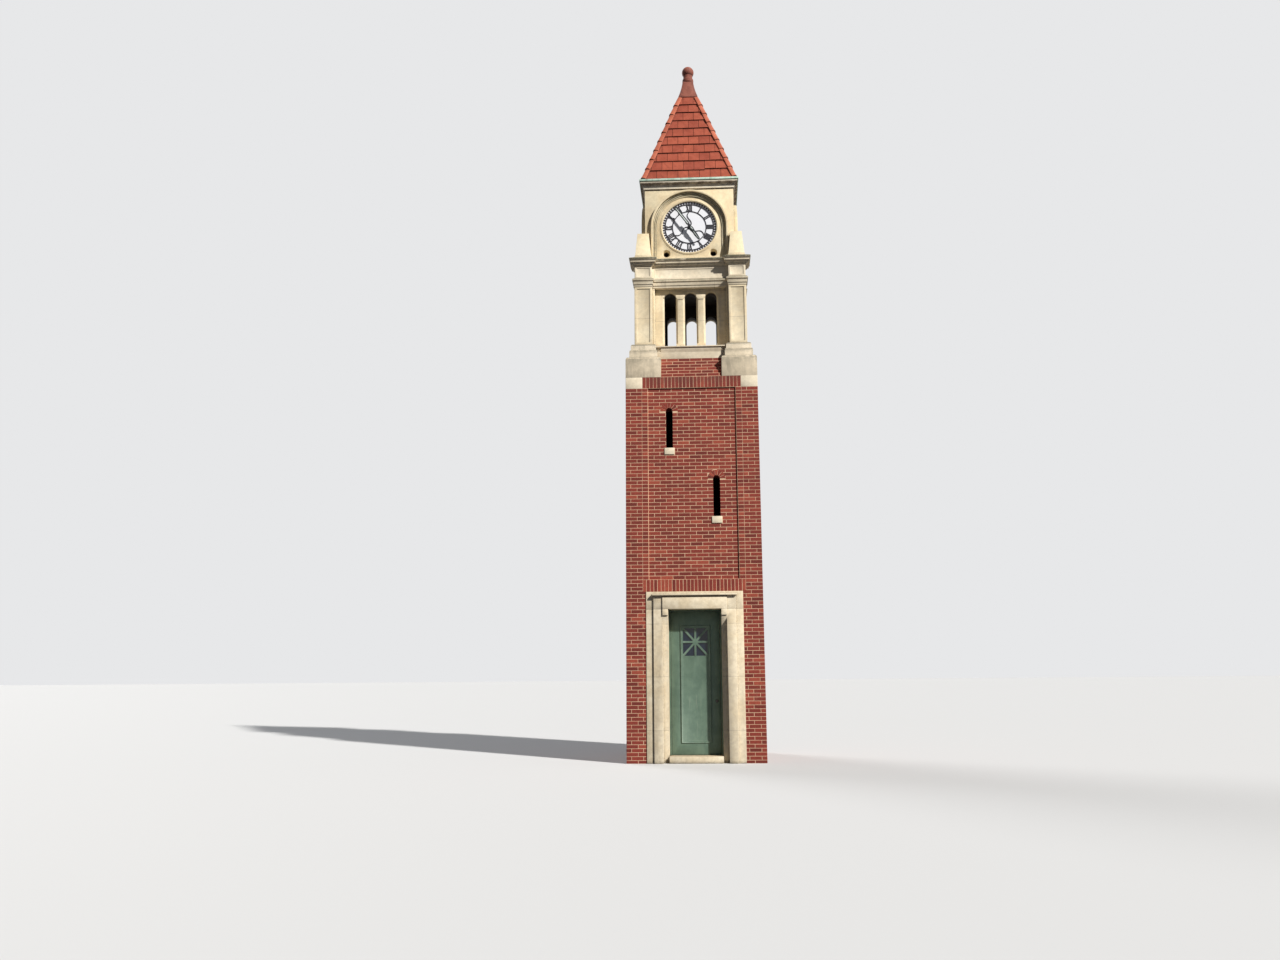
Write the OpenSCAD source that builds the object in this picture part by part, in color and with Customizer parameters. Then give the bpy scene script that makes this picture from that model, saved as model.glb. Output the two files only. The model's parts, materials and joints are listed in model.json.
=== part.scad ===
// A square brick clock tower with stone trim. Origin at the middle of the base, on the
// ground. The entrance side faces -Y, +Z is up. Millimetres.

/* [Shaft] */
// Width of the square brick shaft
shaft_w = 2440; // [2400:10:2500]
// Thickness of the brick walls
wall_t = 330; // [320:5:340]
// Width of the sunk brick panel on each side
panel_w = 1620; // [1600:10:1640]
// Depth of the sunk brick panel
panel_depth = 25; // [15:1:30]
// Height of the bottom of the sunk panel
panel_low = 3190; // [3180:5:3200]
// Height of the top of the sunk panel
panel_top = 6725; // [6715:5:6735]
// Height of the top of the plain brickwork
shaft_top = 6940; // [6930:5:6950]
// Height of one brick course with its joint
course_h = 66.7; // [66:0.1:67]
// Number of brick courses that step back above the shaft
step_count = 6; // [5:1:6]
// Distance that each stepped course goes back
step_back = 30; // [26:1:34]

/* [Window slits] */
// Width of a window slit
slit_w = 128; // [120:1:135]
// Height of a window slit with its round head
slit_h = 755; // [740:1:770]
// Distance of the higher slit from the middle of the side
slit_high_x = 418; // [400:1:440]
// Distance of the lower slit from the middle of the side
slit_low_x = 430; // [410:1:450]
// Height of the foot of the higher slit
slit_high = 5600; // [5580:1:5620]
// Height of the foot of the lower slit
slit_low = 4324; // [4280:1:4340]
// Width of the stone sill under a slit
slit_sill_w = 184; // [178:1:200]
// Height of the stone sill under a slit
slit_sill_h = 124; // [100:1:130]

/* [Doorway] */
// Clear width of the doorway between its jambs
door_w = 943; // [930:1:950]
// Height of the head of the doorway
door_head = 2660; // [2650:5:2670]
// Width of the inner jamb stones and of the ear over each of them
jamb_w = 100; // [90:2:110]
// Overall width of the raised frame around the doorway
door_case_w = 1464; // [1450:2:1480]
// Overall width of the doorway's stones
surround_w = 1726; // [1710:2:1740]
// Height of the top of the doorway's stones
surround_top = 2970; // [2960:1:2980]
// Height of the entrance floor and of the door sill
floor_h = 120; // [100:5:150]
// Thickness of the door leaf
leaf_t = 45; // [40:1:50]
// Width of the door light
light_w = 444; // [430:2:450]
// Height of the door light
light_h = 490; // [480:2:500]
// Height of the foot of the door light
light_low = 1844; // [1840:2:1850]

/* [Belfry] */
// Half width of the belfry over its corner piers
belfry_half = 1060; // [1055:1:1065]
// Width of a corner pier
pier_w = 335; // [330:1:340]
// Height of the belfry sill
sill_z = 7628; // [7620:1:7635]
// Height of the underside of the architrave
architrave_z = 8770; // [8765:1:8775]
// Half width of the belfry at the face of its arcades
arcade_half = 860; // [855:1:865]
// Thickness of an arcade
arcade_t = 260; // [240:5:270]
// Width of one arched opening
arch_w = 222; // [218:1:226]
// Distance from one arched opening to the next
arch_pitch = 390; // [386:1:394]
// Height where the arches start
arch_spring = 8607; // [8600:1:8612]

/* [Entablature] */
// Height of the top of the architrave
architrave_top = 8945; // [8940:1:8950]
// Height of the top of the frieze
frieze_top = 9184; // [9180:1:9190]
// Height of the top of the main cornice
cornice_top = 9372; // [9365:1:9380]
// Half width of the main cornice over the corner piers
cornice_half = 1155; // [1150:1:1160]
// Distance that the entablature stands back between the corner piers
bay_back = 105; // [95:1:110]

/* [Clock stage] */
// Half width of the clock stage
stage_half = 862; // [858:1:866]
// Thickness of the clock stage walls
stage_t = 220; // [200:5:230]
// Height of the underside of the eaves cornice
eaves_z = 10835; // [10830:1:10840]
// Height of the middle of the dials
dial_z = 10045; // [10043:1:10047]
// Radius of the dial
dial_r = 522; // [518:1:526]
// Outer radius of the arched stone hood round a dial
hood_r = 745; // [740:1:750]
// Width of the rim of the hood
hood_rim = 38; // [34:1:42]
// Distance that the hood stands out from the wall
hood_out = 75; // [70:1:80]
// Length of the minute hand from the middle to its tip
minute_len = 487; // [470:1:495]
// Length of the hour hand from the middle to its tip
hour_len = 345; // [335:1:355]
// Minutes past four that the hands show at rest
rest_minutes = 54; // [0:1:59]

/* [Roof] */
// Height of the foot of the tiled roof
roof_z = 11040; // [11035:1:11045]
// Half width of the foot of the tiled roof
roof_half = 892; // [888:1:896]
// Height of the top of the tiled roof
roof_top = 13190; // [13185:1:13195]
// Half width of the top of the tiled roof
roof_top_half = 170; // [166:1:175]
// Number of tile courses
tile_courses = 10; // [9:1:11]
// Distance that the lower edge of a tile course stands out
tile_butt = 14; // [12:1:16]
// Radius of the finial ball
ball_r = 122; // [115:1:125]
// Height of the middle of the finial ball
ball_z = 13848; // [13845:1:13850]

/* [Hidden] */
$fn = 48;

// Colours
brick_colour = "#a4503f";
stone_colour = "#e0cda6";
wood_colour = "#6f9a80";
floor_colour = "#a9a49a";
metal_colour = "#2c2d2e";
tile_colour = "#c05f45";
copper_colour = "#9fc7ae";
opal_colour = "#f2f1ec";

// Overlap that lets a cut pass a face
eps = 1;

shaft_half = shaft_w/2;
shaft_inner = shaft_half - wall_t;
steps_top = shaft_top + step_count*course_h;

// Place of a slit's sill behind the face of the shaft, and its depth
slit_sill_back = 10;
slit_sill_run = 150;

// Stone at each upper corner of the shaft
corner_stone_w = 310;
corner_stone_low = panel_top;

// Doorway
case_half = door_case_w/2;
surround_half = surround_w/2;
door_half = door_w/2;
face_stone_t = 90;
band_out = 12;
case_out = 44;
lintel_out = 70;
shelf_out = 95;
shelf_z = 2900;
shelf_t = 34;
shelf_over = 20;
lintel_face_top = 2865;
ear_low = 2550;
ear_half = door_half + jamb_w;
jamb_recess = 100;
jamb_front = -shaft_half - case_out + jamb_recess;
corbel_h = 200;
corbel_nose = 50;
frame_w = 30;
frame_t = 45;
leaf_gap = 7;
leaf_half = door_half - frame_w - leaf_gap;
leaf_low = floor_h + 8;
leaf_top = door_head - frame_w - leaf_gap;
leaf_front = -shaft_half + 290;
leaf_back = leaf_front + leaf_t;
hinge_y = leaf_back + 6;
hinge_x = -door_half + frame_w - 1;
hinge_r = 5;
hinge_heights = [420, 1380, 2300];
hinge_h = 110;
hinge_plate_t = 3;
muntin_w = 34;
muntin_t = 16;
pane_t = 4;
panel_sink = 8;
lower_panel_low = leaf_low + 240;
groove_w = 14;
groove_x = light_w/2 + 58;
knob_x = 372;
knob_z = 1050;

// Piers
pier_mid = belfry_half - pier_w/2;
pier_half = pier_w/2;
pier_inner = belfry_half - pier_w;
plinth_block_half = shaft_half - pier_mid;
plinth_mid_half = 262;
plinth_top_half = 236;
plinth_mid_top = 7492;
plinth_top = 7612;
pier_panel_border = 45;
pier_panel_sink = 12;

// Band under the belfry sill
band_half = shaft_half - step_count*step_back;
band_nose = 1085;
band_top = 7578;
band_inner = 640;
belfry_floor_low = 7400;
belfry_floor_top = 7520;

// Arcades
jamb_strip_w = 45;
jamb_strip_half = 955;
arcade_inner = arcade_half - arcade_t;
arch_r = arch_w/2;
mullion_half = arch_pitch/2 - arch_r;
arris_cut = 32;
arris_stop = 60;
impost_low = 8573;
impost_top = 8660;
impost_flare = 45;
impost_out = 10;

// Entablature
capital_out = 40;
frieze_half = belfry_half - 5;
frieze_inner = 700;
frieze_sink = 10;
frieze_border = 40;
clock_floor_top = 9050;
stage_inner = stage_half - stage_t;

// Corner dies
die_mid = pier_mid;
die_low_half = 152;
die_top_half = 108;
die_foot_half = 160;
die_foot_h = 30;
die_top = 9872;

// Dials
hood_inner = hood_r - hood_rim;
ring_r = 545;
ring_half_w = 22;
ring_out = 16;
glass_r = 548;
glass_t = 10;
glass_front = stage_half - 20;
port_x = 452;
port_z = 9505;
port_r = 56;
port_mouth_r = 80;
port_splay = 40;
dial_bar_t = 7;
dial_bar_gap = 1;
minute_ring_in = 460;
chapter_ring_r = 334;
arbor_r = 12;
arbor_run = 0.05;
arbor_end = 962;
boss_r = 42;
hour_front = 930;
minute_front = 952;
hand_t = 4;
rest_angle_minute = rest_minutes*6;
rest_angle_hour = 120 + rest_minutes/2;

// Eaves
eaves_fillet_half = 885;
eaves_fillet_h = 35;
eaves_cavetto = 62;
eaves_top = 10980;
flashing_half = 965;
flashing_lip = 40;

// Roof
roof_slope = (roof_half - roof_top_half)/(roof_top - roof_z);
roof_t = 85;
hip_lean = atan(roof_slope*sqrt(2));
hip_angle = acos(-pow(cos(atan(1/roof_slope)), 2));
hip_tiles_per_hip = 9;
hip_arm = 92;
hip_t = 18;
hip_lift = 26;
hip_tilt = 1.5;
hip_gap = 4;
hip_bed_arm = 60;
hip_bed_t = 8;
hip_bed_gap = 0.3;
hip_start = 20;
hip_end_z = 13168;
cap_low = roof_top;
cap_top = 13592;
cap_half = 196;
cap_top_half = 108;
cap_skirt = 20;
cap_hollow = 11;
collar_r = 114;
collar_h = 104;
collar_round = 30;
neck_r = 94;

// Repeats its child on the four sides
module each_side() {
    for (k = [0:3]) rotate([0, 0, 90*k]) children();
}

// A square block round the axis
module square_block(half, low, top) {
    translate([-half, -half, low]) cube([2*half, 2*half, top - low]);
}

// Turns a flat half outline, drawn as distance from the axis and height, into a
// moulding that runs round a square with mitred corners
module mitred(reach) {
    crossed(reach) both_halves() children();
}

// Turns a whole outline into the square solid that shows it from all four sides
module crossed(reach) {
    intersection() {
        rotate([90, 0, 0]) linear_extrude(2*reach, center = true) children();
        rotate([90, 0, 90]) linear_extrude(2*reach, center = true) children();
    }
}

module both_halves() {
    children();
    mirror([1, 0]) children();
}

// One plain member of a half outline
module member(half, low, top) {
    translate([0, low]) square([half, top - low]);
}

// A hollow member that widens upwards from half by its own height
module cavetto(half, low, size) {
    difference() {
        member(half + size, low, low + size);
        translate([half + size, low]) circle(size);
    }
}

// A round member that widens upwards from half by its own height
module ovolo(half, low, size) {
    member(half, low, low + size);
    intersection() {
        translate([half, low + size]) circle(size);
        member(half + size, low, low + size);
    }
}

// The four corner positions over the piers
module each_pier() {
    each_side() translate([pier_mid, pier_mid, 0]) children();
}

// Space inside the shaft walls
module shaft_void() {
    square_block(shaft_inner, -eps, steps_top + eps);
}

// Floors
module floor_slab() {
    color(floor_colour) square_block(shaft_inner, 0, floor_h);
}

module belfry_floor() {
    color(floor_colour) difference() {
        square_block(band_inner, belfry_floor_low, belfry_floor_top);
        each_pier() square_block(plinth_mid_half, belfry_floor_low - eps, belfry_floor_top + eps);
    }
}

module clock_floor() {
    color(floor_colour) square_block(frieze_inner, architrave_top, clock_floor_top);
}

// Cuts of one side of the shaft, drawn on the front
module panel_cut() {
    translate([-panel_w/2, -shaft_half - eps, panel_low])
        cube([panel_w, panel_depth + eps, panel_top - panel_low]);
}

module slit_cut(x, low) {
    translate([x - slit_w/2, -shaft_half - eps, low])
        cube([slit_w, wall_t + 2*eps, slit_h - slit_w/2]);
    translate([x, -shaft_half - eps, low + slit_h - slit_w/2])
        rotate([-90, 0, 0]) cylinder(r = slit_w/2, h = wall_t + 2*eps);
}

module slit_sill(x, low) {
    translate([x - slit_sill_w/2, -shaft_half + slit_sill_back, low - slit_sill_h])
        cube([slit_sill_w, slit_sill_run, slit_sill_h]);
}

module side_cuts() {
    panel_cut();
    slit_cut(-slit_high_x, slit_high);
    slit_cut(slit_low_x, slit_low);
    slit_sill(-slit_high_x, slit_high);
    slit_sill(slit_low_x, slit_low);
}

// The stones at the upper corners of the shaft
module corner_stone_blocks() {
    each_side()
        translate([shaft_half - corner_stone_w, shaft_half - corner_stone_w, corner_stone_low])
            cube([corner_stone_w, corner_stone_w, shaft_top - corner_stone_low]);
}

module corner_stones() {
    color(stone_colour) corner_stone_blocks();
}

module slit_sills() {
    color(stone_colour) each_side() {
        slit_sill(-slit_high_x, slit_high);
        slit_sill(slit_low_x, slit_low);
    }
}

// Brick walls
module wall_block(half, low, top) {
    translate([-half, -shaft_half, low]) cube([2*half, wall_t, top - low]);
}

module long_wall(low) {
    difference() {
        wall_block(shaft_half, low, shaft_top);
        side_cuts();
        corner_stone_blocks();
    }
}

module side_wall() {
    difference() {
        wall_block(shaft_inner, 0, shaft_top);
        side_cuts();
    }
}

module front_wall_upper() {
    color(brick_colour) long_wall(surround_top);
}

module back_wall() {
    color(brick_colour) rotate([0, 0, 180]) long_wall(0);
}

module right_wall() {
    color(brick_colour) rotate([0, 0, 90]) side_wall();
}

module left_wall() {
    color(brick_colour) rotate([0, 0, -90]) side_wall();
}

// Brickwork beside the doorway: full thickness up to the jamb, rebated for the face stones
module front_wall_right() {
    color(brick_colour) difference() {
        translate([ear_half, -shaft_half, 0])
            cube([shaft_half - ear_half, wall_t, surround_top]);
        translate([ear_half - eps, -shaft_half - eps, -eps])
            cube([surround_half - ear_half + eps, face_stone_t + eps, surround_top + 2*eps]);
        translate([ear_half - eps, -shaft_half - eps, door_head])
            cube([surround_half - ear_half + eps, wall_t + 2*eps, surround_top]);
    }
}

module front_wall_left() {
    mirror([1, 0, 0]) front_wall_right();
}

// Doorway stones: a recessed inner jamb, a raised pilaster and a flat outer band
module jamb_stones() {
    linear_extrude(door_head)
        polygon([[door_half, jamb_front], [ear_half, jamb_front],
            [ear_half, -shaft_half - case_out], [case_half, -shaft_half - case_out],
            [case_half, -shaft_half - band_out], [surround_half, -shaft_half - band_out],
            [surround_half, face_stone_t - shaft_half], [ear_half, face_stone_t - shaft_half],
            [ear_half, -shaft_inner], [door_half, -shaft_inner]]);
    ear();
}

// Ear of the lintel on a corbel that grows out of the inner jamb
module ear() {
    translate([door_half, -shaft_half - lintel_out, ear_low])
        cube([jamb_w, lintel_out + face_stone_t, door_head - ear_low]);
    translate([door_half, 0, 0]) rotate([90, 0, 90]) linear_extrude(jamb_w)
        polygon([[jamb_front + eps, ear_low - corbel_h], [jamb_front, ear_low - corbel_h],
            [-shaft_half - case_out, ear_low - corbel_nose], [-shaft_half - case_out, ear_low + eps],
            [jamb_front + eps, ear_low + eps]]);
}

module door_jamb_right() {
    color(stone_colour) jamb_stones();
}

module door_jamb_left() {
    color(stone_colour) mirror([1, 0, 0]) jamb_stones();
}

module door_lintel() {
    color(stone_colour) {
        translate([-surround_half, -shaft_half - band_out, door_head])
            cube([2*surround_half, wall_t + band_out, surround_top - door_head]);
        translate([-case_half, -shaft_half - case_out, door_head])
            cube([2*case_half, case_out, shelf_z - door_head + eps]);
        translate([-ear_half, -shaft_half - lintel_out, door_head])
            cube([2*ear_half, lintel_out, lintel_face_top - door_head]);
        translate([-case_half - shelf_over, -shaft_half - shelf_out, shelf_z])
            cube([2*(case_half + shelf_over), shelf_out, shelf_t]);
    }
}

module door_sill() {
    color(stone_colour)
        translate([-door_half, -shaft_half - band_out, 0])
            cube([door_w, wall_t + band_out, floor_h]);
}

// Fixed frame behind the stone reveal
module door_frame() {
    color(wood_colour) {
        for (side = [-1, 1])
            translate([side*(door_half - frame_w/2) - frame_w/2, leaf_front - 5, floor_h])
                cube([frame_w, frame_t, door_head - floor_h]);
        translate([-door_half, leaf_front - 5, door_head - frame_w])
            cube([door_w, frame_t, frame_w]);
    }
}

// Hinge knuckles on plates that are fixed to the frame
module door_hinges() {
    color(metal_colour)
        for (z = hinge_heights) {
            translate([hinge_x, hinge_y, z]) cylinder(r = hinge_r, h = hinge_h);
            translate([-door_half + 2, leaf_front - 5 + frame_t, z])
                cube([frame_w - 3, hinge_plate_t, hinge_h]);
            translate([hinge_x - hinge_r, leaf_front - 5 + frame_t, z])
                cube([hinge_r, hinge_y - leaf_front + 5 - frame_t, hinge_h]);
        }
}

// Bars of the door light: eight rays from the middle
module star_bars() {
    light_mid = light_low + light_h/2;
    diagonal = atan(light_h/light_w);
    intersection() {
        translate([-light_w/2 - eps, leaf_front + 2, light_low - eps])
            cube([light_w + 2*eps, muntin_t, light_h + 2*eps]);
        translate([0, leaf_front + 2, light_mid])
            for (angle = [0, 90, diagonal, -diagonal])
                rotate([0, angle, 0])
                    translate([-light_h, 0, -muntin_w/2])
                        cube([2*light_h, muntin_t, muntin_w]);
    }
}

module door_leaf() {
    color(wood_colour) {
        difference() {
            translate([-leaf_half, leaf_front, leaf_low])
                cube([2*leaf_half, leaf_t, leaf_top - leaf_low]);
            translate([-light_w/2, leaf_front - eps, light_low])
                cube([light_w, leaf_t + 2*eps, light_h]);
            for (y = [leaf_front - eps, leaf_back - panel_sink])
                translate([-light_w/2, y, lower_panel_low])
                    cube([light_w, panel_sink + eps, light_low - lower_panel_low + eps]);
            for (side = [-1, 1])
                translate([side*groove_x - groove_w/2, leaf_front - eps, leaf_low + 200])
                    cube([groove_w, panel_sink + eps, light_low + light_h + 50 - leaf_low - 200]);
        }
        star_bars();
    }
    color(metal_colour)
        for (z = hinge_heights)
            translate([-leaf_half, leaf_back, z])
                cube([80, hinge_plate_t, hinge_h]);
}

module door_glass() {
    color(opal_colour)
        translate([-light_w/2 + eps, leaf_front + 2 + muntin_t + 2, light_low + eps])
            cube([light_w - 2*eps, pane_t, light_h - 2*eps]);
}

// Round knobs on both faces of the leaf
module door_knob() {
    knob = [[0, 0], [26, 0], [26, 4], [9, 6], [9, 26], [24, 34], [27, 46], [20, 56], [0, 59]];
    color(metal_colour) {
        translate([knob_x, leaf_front, knob_z]) rotate([90, 0, 0]) rotate_extrude() polygon(knob);
        translate([knob_x, leaf_back, knob_z]) rotate([-90, 0, 0]) rotate_extrude() polygon(knob);
    }
}

// Brick courses that step back under the belfry, between the corner plinths
module stepped_courses() {
    color(brick_colour) difference() {
        union() {
            for (i = [0:step_count - 1])
                square_block(shaft_half - step_back*(i + 1),
                    shaft_top + course_h*i, shaft_top + course_h*(i + 1));
        }
        shaft_void();
        each_pier() square_block(plinth_block_half, shaft_top - eps, steps_top + eps);
    }
}

// Plinth of each corner pier: a weathered block and two smaller courses
module plinth_outline() {
    polygon([[0, shaft_top], [plinth_block_half, shaft_top],
        [plinth_block_half, steps_top - 50], [plinth_block_half - 12, steps_top - 15],
        [plinth_block_half - 34, steps_top], [0, steps_top]]);
    polygon([[0, steps_top - eps], [plinth_mid_half, steps_top - eps],
        [plinth_mid_half, plinth_mid_top - 30], [plinth_mid_half - 12, plinth_mid_top],
        [0, plinth_mid_top]]);
    polygon([[0, plinth_mid_top - eps], [plinth_top_half, plinth_mid_top - eps],
        [plinth_top_half, plinth_top - 30], [plinth_top_half - 20, plinth_top], [0, plinth_top]]);
}

module pier_plinths() {
    color(stone_colour) difference() {
        each_pier() mitred(plinth_block_half + eps) plinth_outline();
        shaft_void();
    }
}

// Stone band and sill under the arcades, cut back for the plinths
module band_outline() {
    member(band_half, steps_top, band_top - 80);
    ovolo(band_half, band_top - 80, 16);
    member(band_half - 14, band_top - 64, band_top - 20);
    polygon([[0, band_top - 20], [band_nose, band_top - 20], [band_nose, band_top],
        [arcade_half + 60, sill_z], [0, sill_z]]);
}

module belfry_band() {
    color(stone_colour) difference() {
        mitred(band_nose + eps) band_outline();
        square_block(band_inner, steps_top - eps, sill_z + eps);
        each_pier() {
            square_block(plinth_mid_half, steps_top - eps, plinth_mid_top);
            square_block(plinth_top_half, plinth_mid_top - eps, plinth_top);
            square_block(pier_half, plinth_top - eps, sill_z + eps);
        }
    }
}

// Corner piers with a sunk panel on both outer faces
module pier_panel() {
    translate([-pier_half + pier_panel_border, pier_half - pier_panel_sink, plinth_top + 60])
        cube([pier_w - 2*pier_panel_border, pier_panel_sink + eps, architrave_z - plinth_top - 100]);
}

module belfry_piers() {
    color(stone_colour) each_pier() difference() {
        square_block(pier_half, plinth_top, architrave_z);
        pier_panel();
        rotate([0, 0, -90]) pier_panel();
    }
}

// One arcade: three round-headed openings between two mullions and stepped jambs.
// Its ends are mitred behind the piers, where the next arcade meets it.
module arcade_plan() {
    polygon([[-pier_inner, -arcade_half], [pier_inner, -arcade_half], [pier_inner, -pier_inner],
        [arcade_inner, -arcade_inner], [-arcade_inner, -arcade_inner], [-pier_inner, -pier_inner]]);
}

module arch_cut(x) {
    translate([x - arch_r, -arcade_half - eps, sill_z - eps])
        cube([arch_w, arcade_t + 2*eps, arch_spring - sill_z + eps]);
    translate([x, -arcade_half - eps, arch_spring])
        rotate([-90, 0, 0]) cylinder(r = arch_r, h = arcade_t + 2*eps);
}

// Chamfer on both upright edges of an opening, from above the sill up to the impost
module arris_cuts(x) {
    bar = arris_cut*sqrt(2);
    for (side = [-1, 1])
        translate([x + side*arch_r, -arcade_half, sill_z + arris_stop]) rotate([0, 0, 45])
            translate([-bar/2, -bar/2, 0]) cube([bar, bar, impost_low + impost_flare - sill_z - arris_stop]);
}

// Impost of a mullion: the chamfers run out into a square block
module impost(x) {
    foot_half = mullion_half - arris_cut;
    translate([x, -arcade_half + arris_cut, 0]) rotate([90, 0, 0])
        linear_extrude(arris_cut + impost_out)
            polygon([[-foot_half, impost_low], [foot_half, impost_low],
                [mullion_half, impost_low + impost_flare], [mullion_half, impost_top],
                [-mullion_half, impost_top], [-mullion_half, impost_low + impost_flare]]);
}

module arcade() {
    color(stone_colour) {
        difference() {
            translate([0, 0, sill_z]) linear_extrude(architrave_top - sill_z) arcade_plan();
            for (i = [-1:1]) {
                arch_cut(i*arch_pitch);
                arris_cuts(i*arch_pitch);
            }
        }
        for (side = [-1, 1]) {
            impost(side*arch_pitch/2);
            translate([side*(pier_inner - jamb_strip_w/2) - jamb_strip_w/2, -jamb_strip_half, sill_z])
                cube([jamb_strip_w, jamb_strip_half - arcade_half + eps, architrave_z - sill_z]);
        }
    }
}

module front_arcade() {
    arcade();
}

module right_arcade() {
    rotate([0, 0, 90]) arcade();
}

module back_arcade() {
    rotate([0, 0, 180]) arcade();
}

module left_arcade() {
    rotate([0, 0, -90]) arcade();
}

// Architrave: it runs back between the piers and breaks forward as their capitals
module architrave_outline(half) {
    member(half + 8, architrave_z, architrave_z + 45);
    member(half + 20, architrave_z + 45, architrave_z + 110);
    ovolo(half + 20, architrave_z + 110, 20);
    member(half + capital_out, architrave_z + 130, architrave_z + 150);
    polygon([[0, architrave_z + 150], [half + capital_out, architrave_z + 150],
        [half + 5, architrave_top], [0, architrave_top]]);
}

module architrave() {
    color(stone_colour) difference() {
        union() {
            mitred(belfry_half) architrave_outline(belfry_half - bay_back);
            each_pier() mitred(pier_half + capital_out + eps) architrave_outline(pier_half);
        }
        for (turn = [0, 90]) rotate([0, 0, turn])
            translate([-pier_inner, -arcade_half, architrave_z - eps])
                cube([2*pier_inner, 2*arcade_half, architrave_top - architrave_z + 2*eps]);
    }
}

// Frieze with a sunk panel over each pier and over each arcade
module frieze_panel(half, face) {
    translate([-half + frieze_border, face - frieze_sink, architrave_top + 35])
        cube([2*half - 2*frieze_border, frieze_sink + eps, frieze_top - architrave_top - 70]);
}

module frieze() {
    color(stone_colour) difference() {
        union() {
            square_block(frieze_half - bay_back + 5, architrave_top, frieze_top);
            each_pier() square_block(pier_half - 5, architrave_top, frieze_top);
        }
        square_block(frieze_inner, architrave_top - eps, frieze_top + eps);
        each_side() frieze_panel(pier_inner - 20, frieze_half - bay_back + 5);
        each_pier() {
            frieze_panel(pier_half - 5, pier_half - 5);
            rotate([0, 0, -90]) frieze_panel(pier_half - 5, pier_half - 5);
        }
    }
}

// Main cornice, broken forward over the piers
module cornice_outline(half) {
    member(half - 80, frieze_top, frieze_top + 20);
    ovolo(half - 80, frieze_top + 20, 30);
    member(half - 45, frieze_top + 50, frieze_top + 62);
    member(half - 22, frieze_top + 62, frieze_top + 100);
    ovolo(half - 22, frieze_top + 100, 22);
    polygon([[0, frieze_top + 122], [half, frieze_top + 122], [half, frieze_top + 142],
        [half - 90, cornice_top], [0, cornice_top]]);
}

module main_cornice() {
    overhang = cornice_half - belfry_half;
    color(stone_colour) difference() {
        union() {
            mitred(cornice_half) cornice_outline(cornice_half - bay_back);
            each_pier() mitred(pier_half + overhang + eps) cornice_outline(pier_half + overhang);
        }
        square_block(stage_inner, frieze_top - eps, cornice_top + eps);
    }
}

// Tapered dies over the piers
module die_outline() {
    polygon([[0, cornice_top], [die_foot_half, cornice_top],
        [die_foot_half, cornice_top + die_foot_h], [die_low_half, cornice_top + die_foot_h + 15],
        [die_top_half, die_top], [0, die_top]]);
}

module corner_dies() {
    color(stone_colour) difference() {
        each_side() translate([die_mid, die_mid, 0]) mitred(die_foot_half + eps) die_outline();
        square_block(stage_half, cornice_top - eps, die_top + eps);
        hood_space();
    }
}

// Clock stage walls
module port_cut(x) {
    translate([x, -stage_half - eps, port_z]) rotate([-90, 0, 0])
        cylinder(r = port_r, h = stage_t + 2*eps);
    translate([x, -stage_half, port_z]) rotate([-90, 0, 0])
        cylinder(r1 = port_mouth_r, r2 = port_r, h = port_splay);
}

module dial_ring() {
    translate([0, -stage_half, dial_z]) rotate([90, 0, 0]) rotate_extrude() {
        translate([ring_r - ring_half_w, -5]) square([2*ring_half_w, 13]);
        translate([ring_r - 2, ring_out - 18]) circle(18);
    }
}

module clock_wall(half) {
    color(stone_colour) difference() {
        union() {
            translate([-half, -stage_half, cornice_top]) cube([2*half, stage_t, eaves_z - cornice_top]);
            dial_ring();
        }
        translate([0, -stage_half - 2*ring_out, dial_z]) rotate([-90, 0, 0])
            cylinder(r = dial_r, h = stage_t + 3*ring_out, $fn = 96);
        translate([0, -glass_front, dial_z]) rotate([-90, 0, 0])
            cylinder(r = glass_r + 2, h = stage_t, $fn = 96);
        port_cut(-port_x);
        port_cut(port_x);
    }
}

module clock_wall_front() {
    clock_wall(stage_half);
}

module clock_wall_back() {
    rotate([0, 0, 180]) clock_wall(stage_half);
}

module clock_wall_right() {
    rotate([0, 0, 90]) clock_wall(stage_inner);
}

module clock_wall_left() {
    rotate([0, 0, -90]) clock_wall(stage_inner);
}

// Arched hoods round the dials
module hood_shape(r) {
    intersection() {
        translate([0, dial_z]) circle(r, $fn = 96);
        translate([-r, dial_z]) square([2*r, r]);
    }
    translate([-r, cornice_top]) square([2*r, dial_z - cornice_top + eps]);
}

module hood_space() {
    each_side() translate([0, -stage_half, 0]) rotate([90, 0, 0])
        linear_extrude(hood_out + eps) hood_shape(hood_r);
}

module dial_hoods() {
    color(stone_colour) each_side()
        translate([0, -stage_half, 0]) rotate([90, 0, 0]) linear_extrude(hood_out)
            difference() {
                hood_shape(hood_r);
                hood_shape(hood_inner);
            }
}

// Dials: opal glass behind a metal frame of rings and curved bars
module dial_disc(r, front, t) {
    translate([0, -front, dial_z]) rotate([-90, 0, 0]) cylinder(r = r, h = t, $fn = 96);
}

module dial_glass() {
    color(opal_colour) each_side() dial_disc(glass_r, glass_front, glass_t);
}

module dial_ring_flat(outer, inner) {
    difference() {
        circle(outer, $fn = 96);
        circle(inner, $fn = 96);
    }
}

// An S-shaped bar from the middle to the chapter ring, drawn upwards
module curved_bar() {
    quarter = (chapter_ring_r - 4)/4;
    bend = quarter*1.25;
    offset_x = sqrt(bend*bend - quarter*quarter);
    for (half = [0, 1]) {
        side = half == 0 ? 1 : -1;
        intersection() {
            translate([side*-offset_x, quarter*(2*half + 1)]) dial_ring_flat(bend + 4, bend - 4);
            translate([side > 0 ? -6 : -bend, quarter*2*half]) square([bend + 6, 2*quarter]);
        }
    }
}

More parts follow.
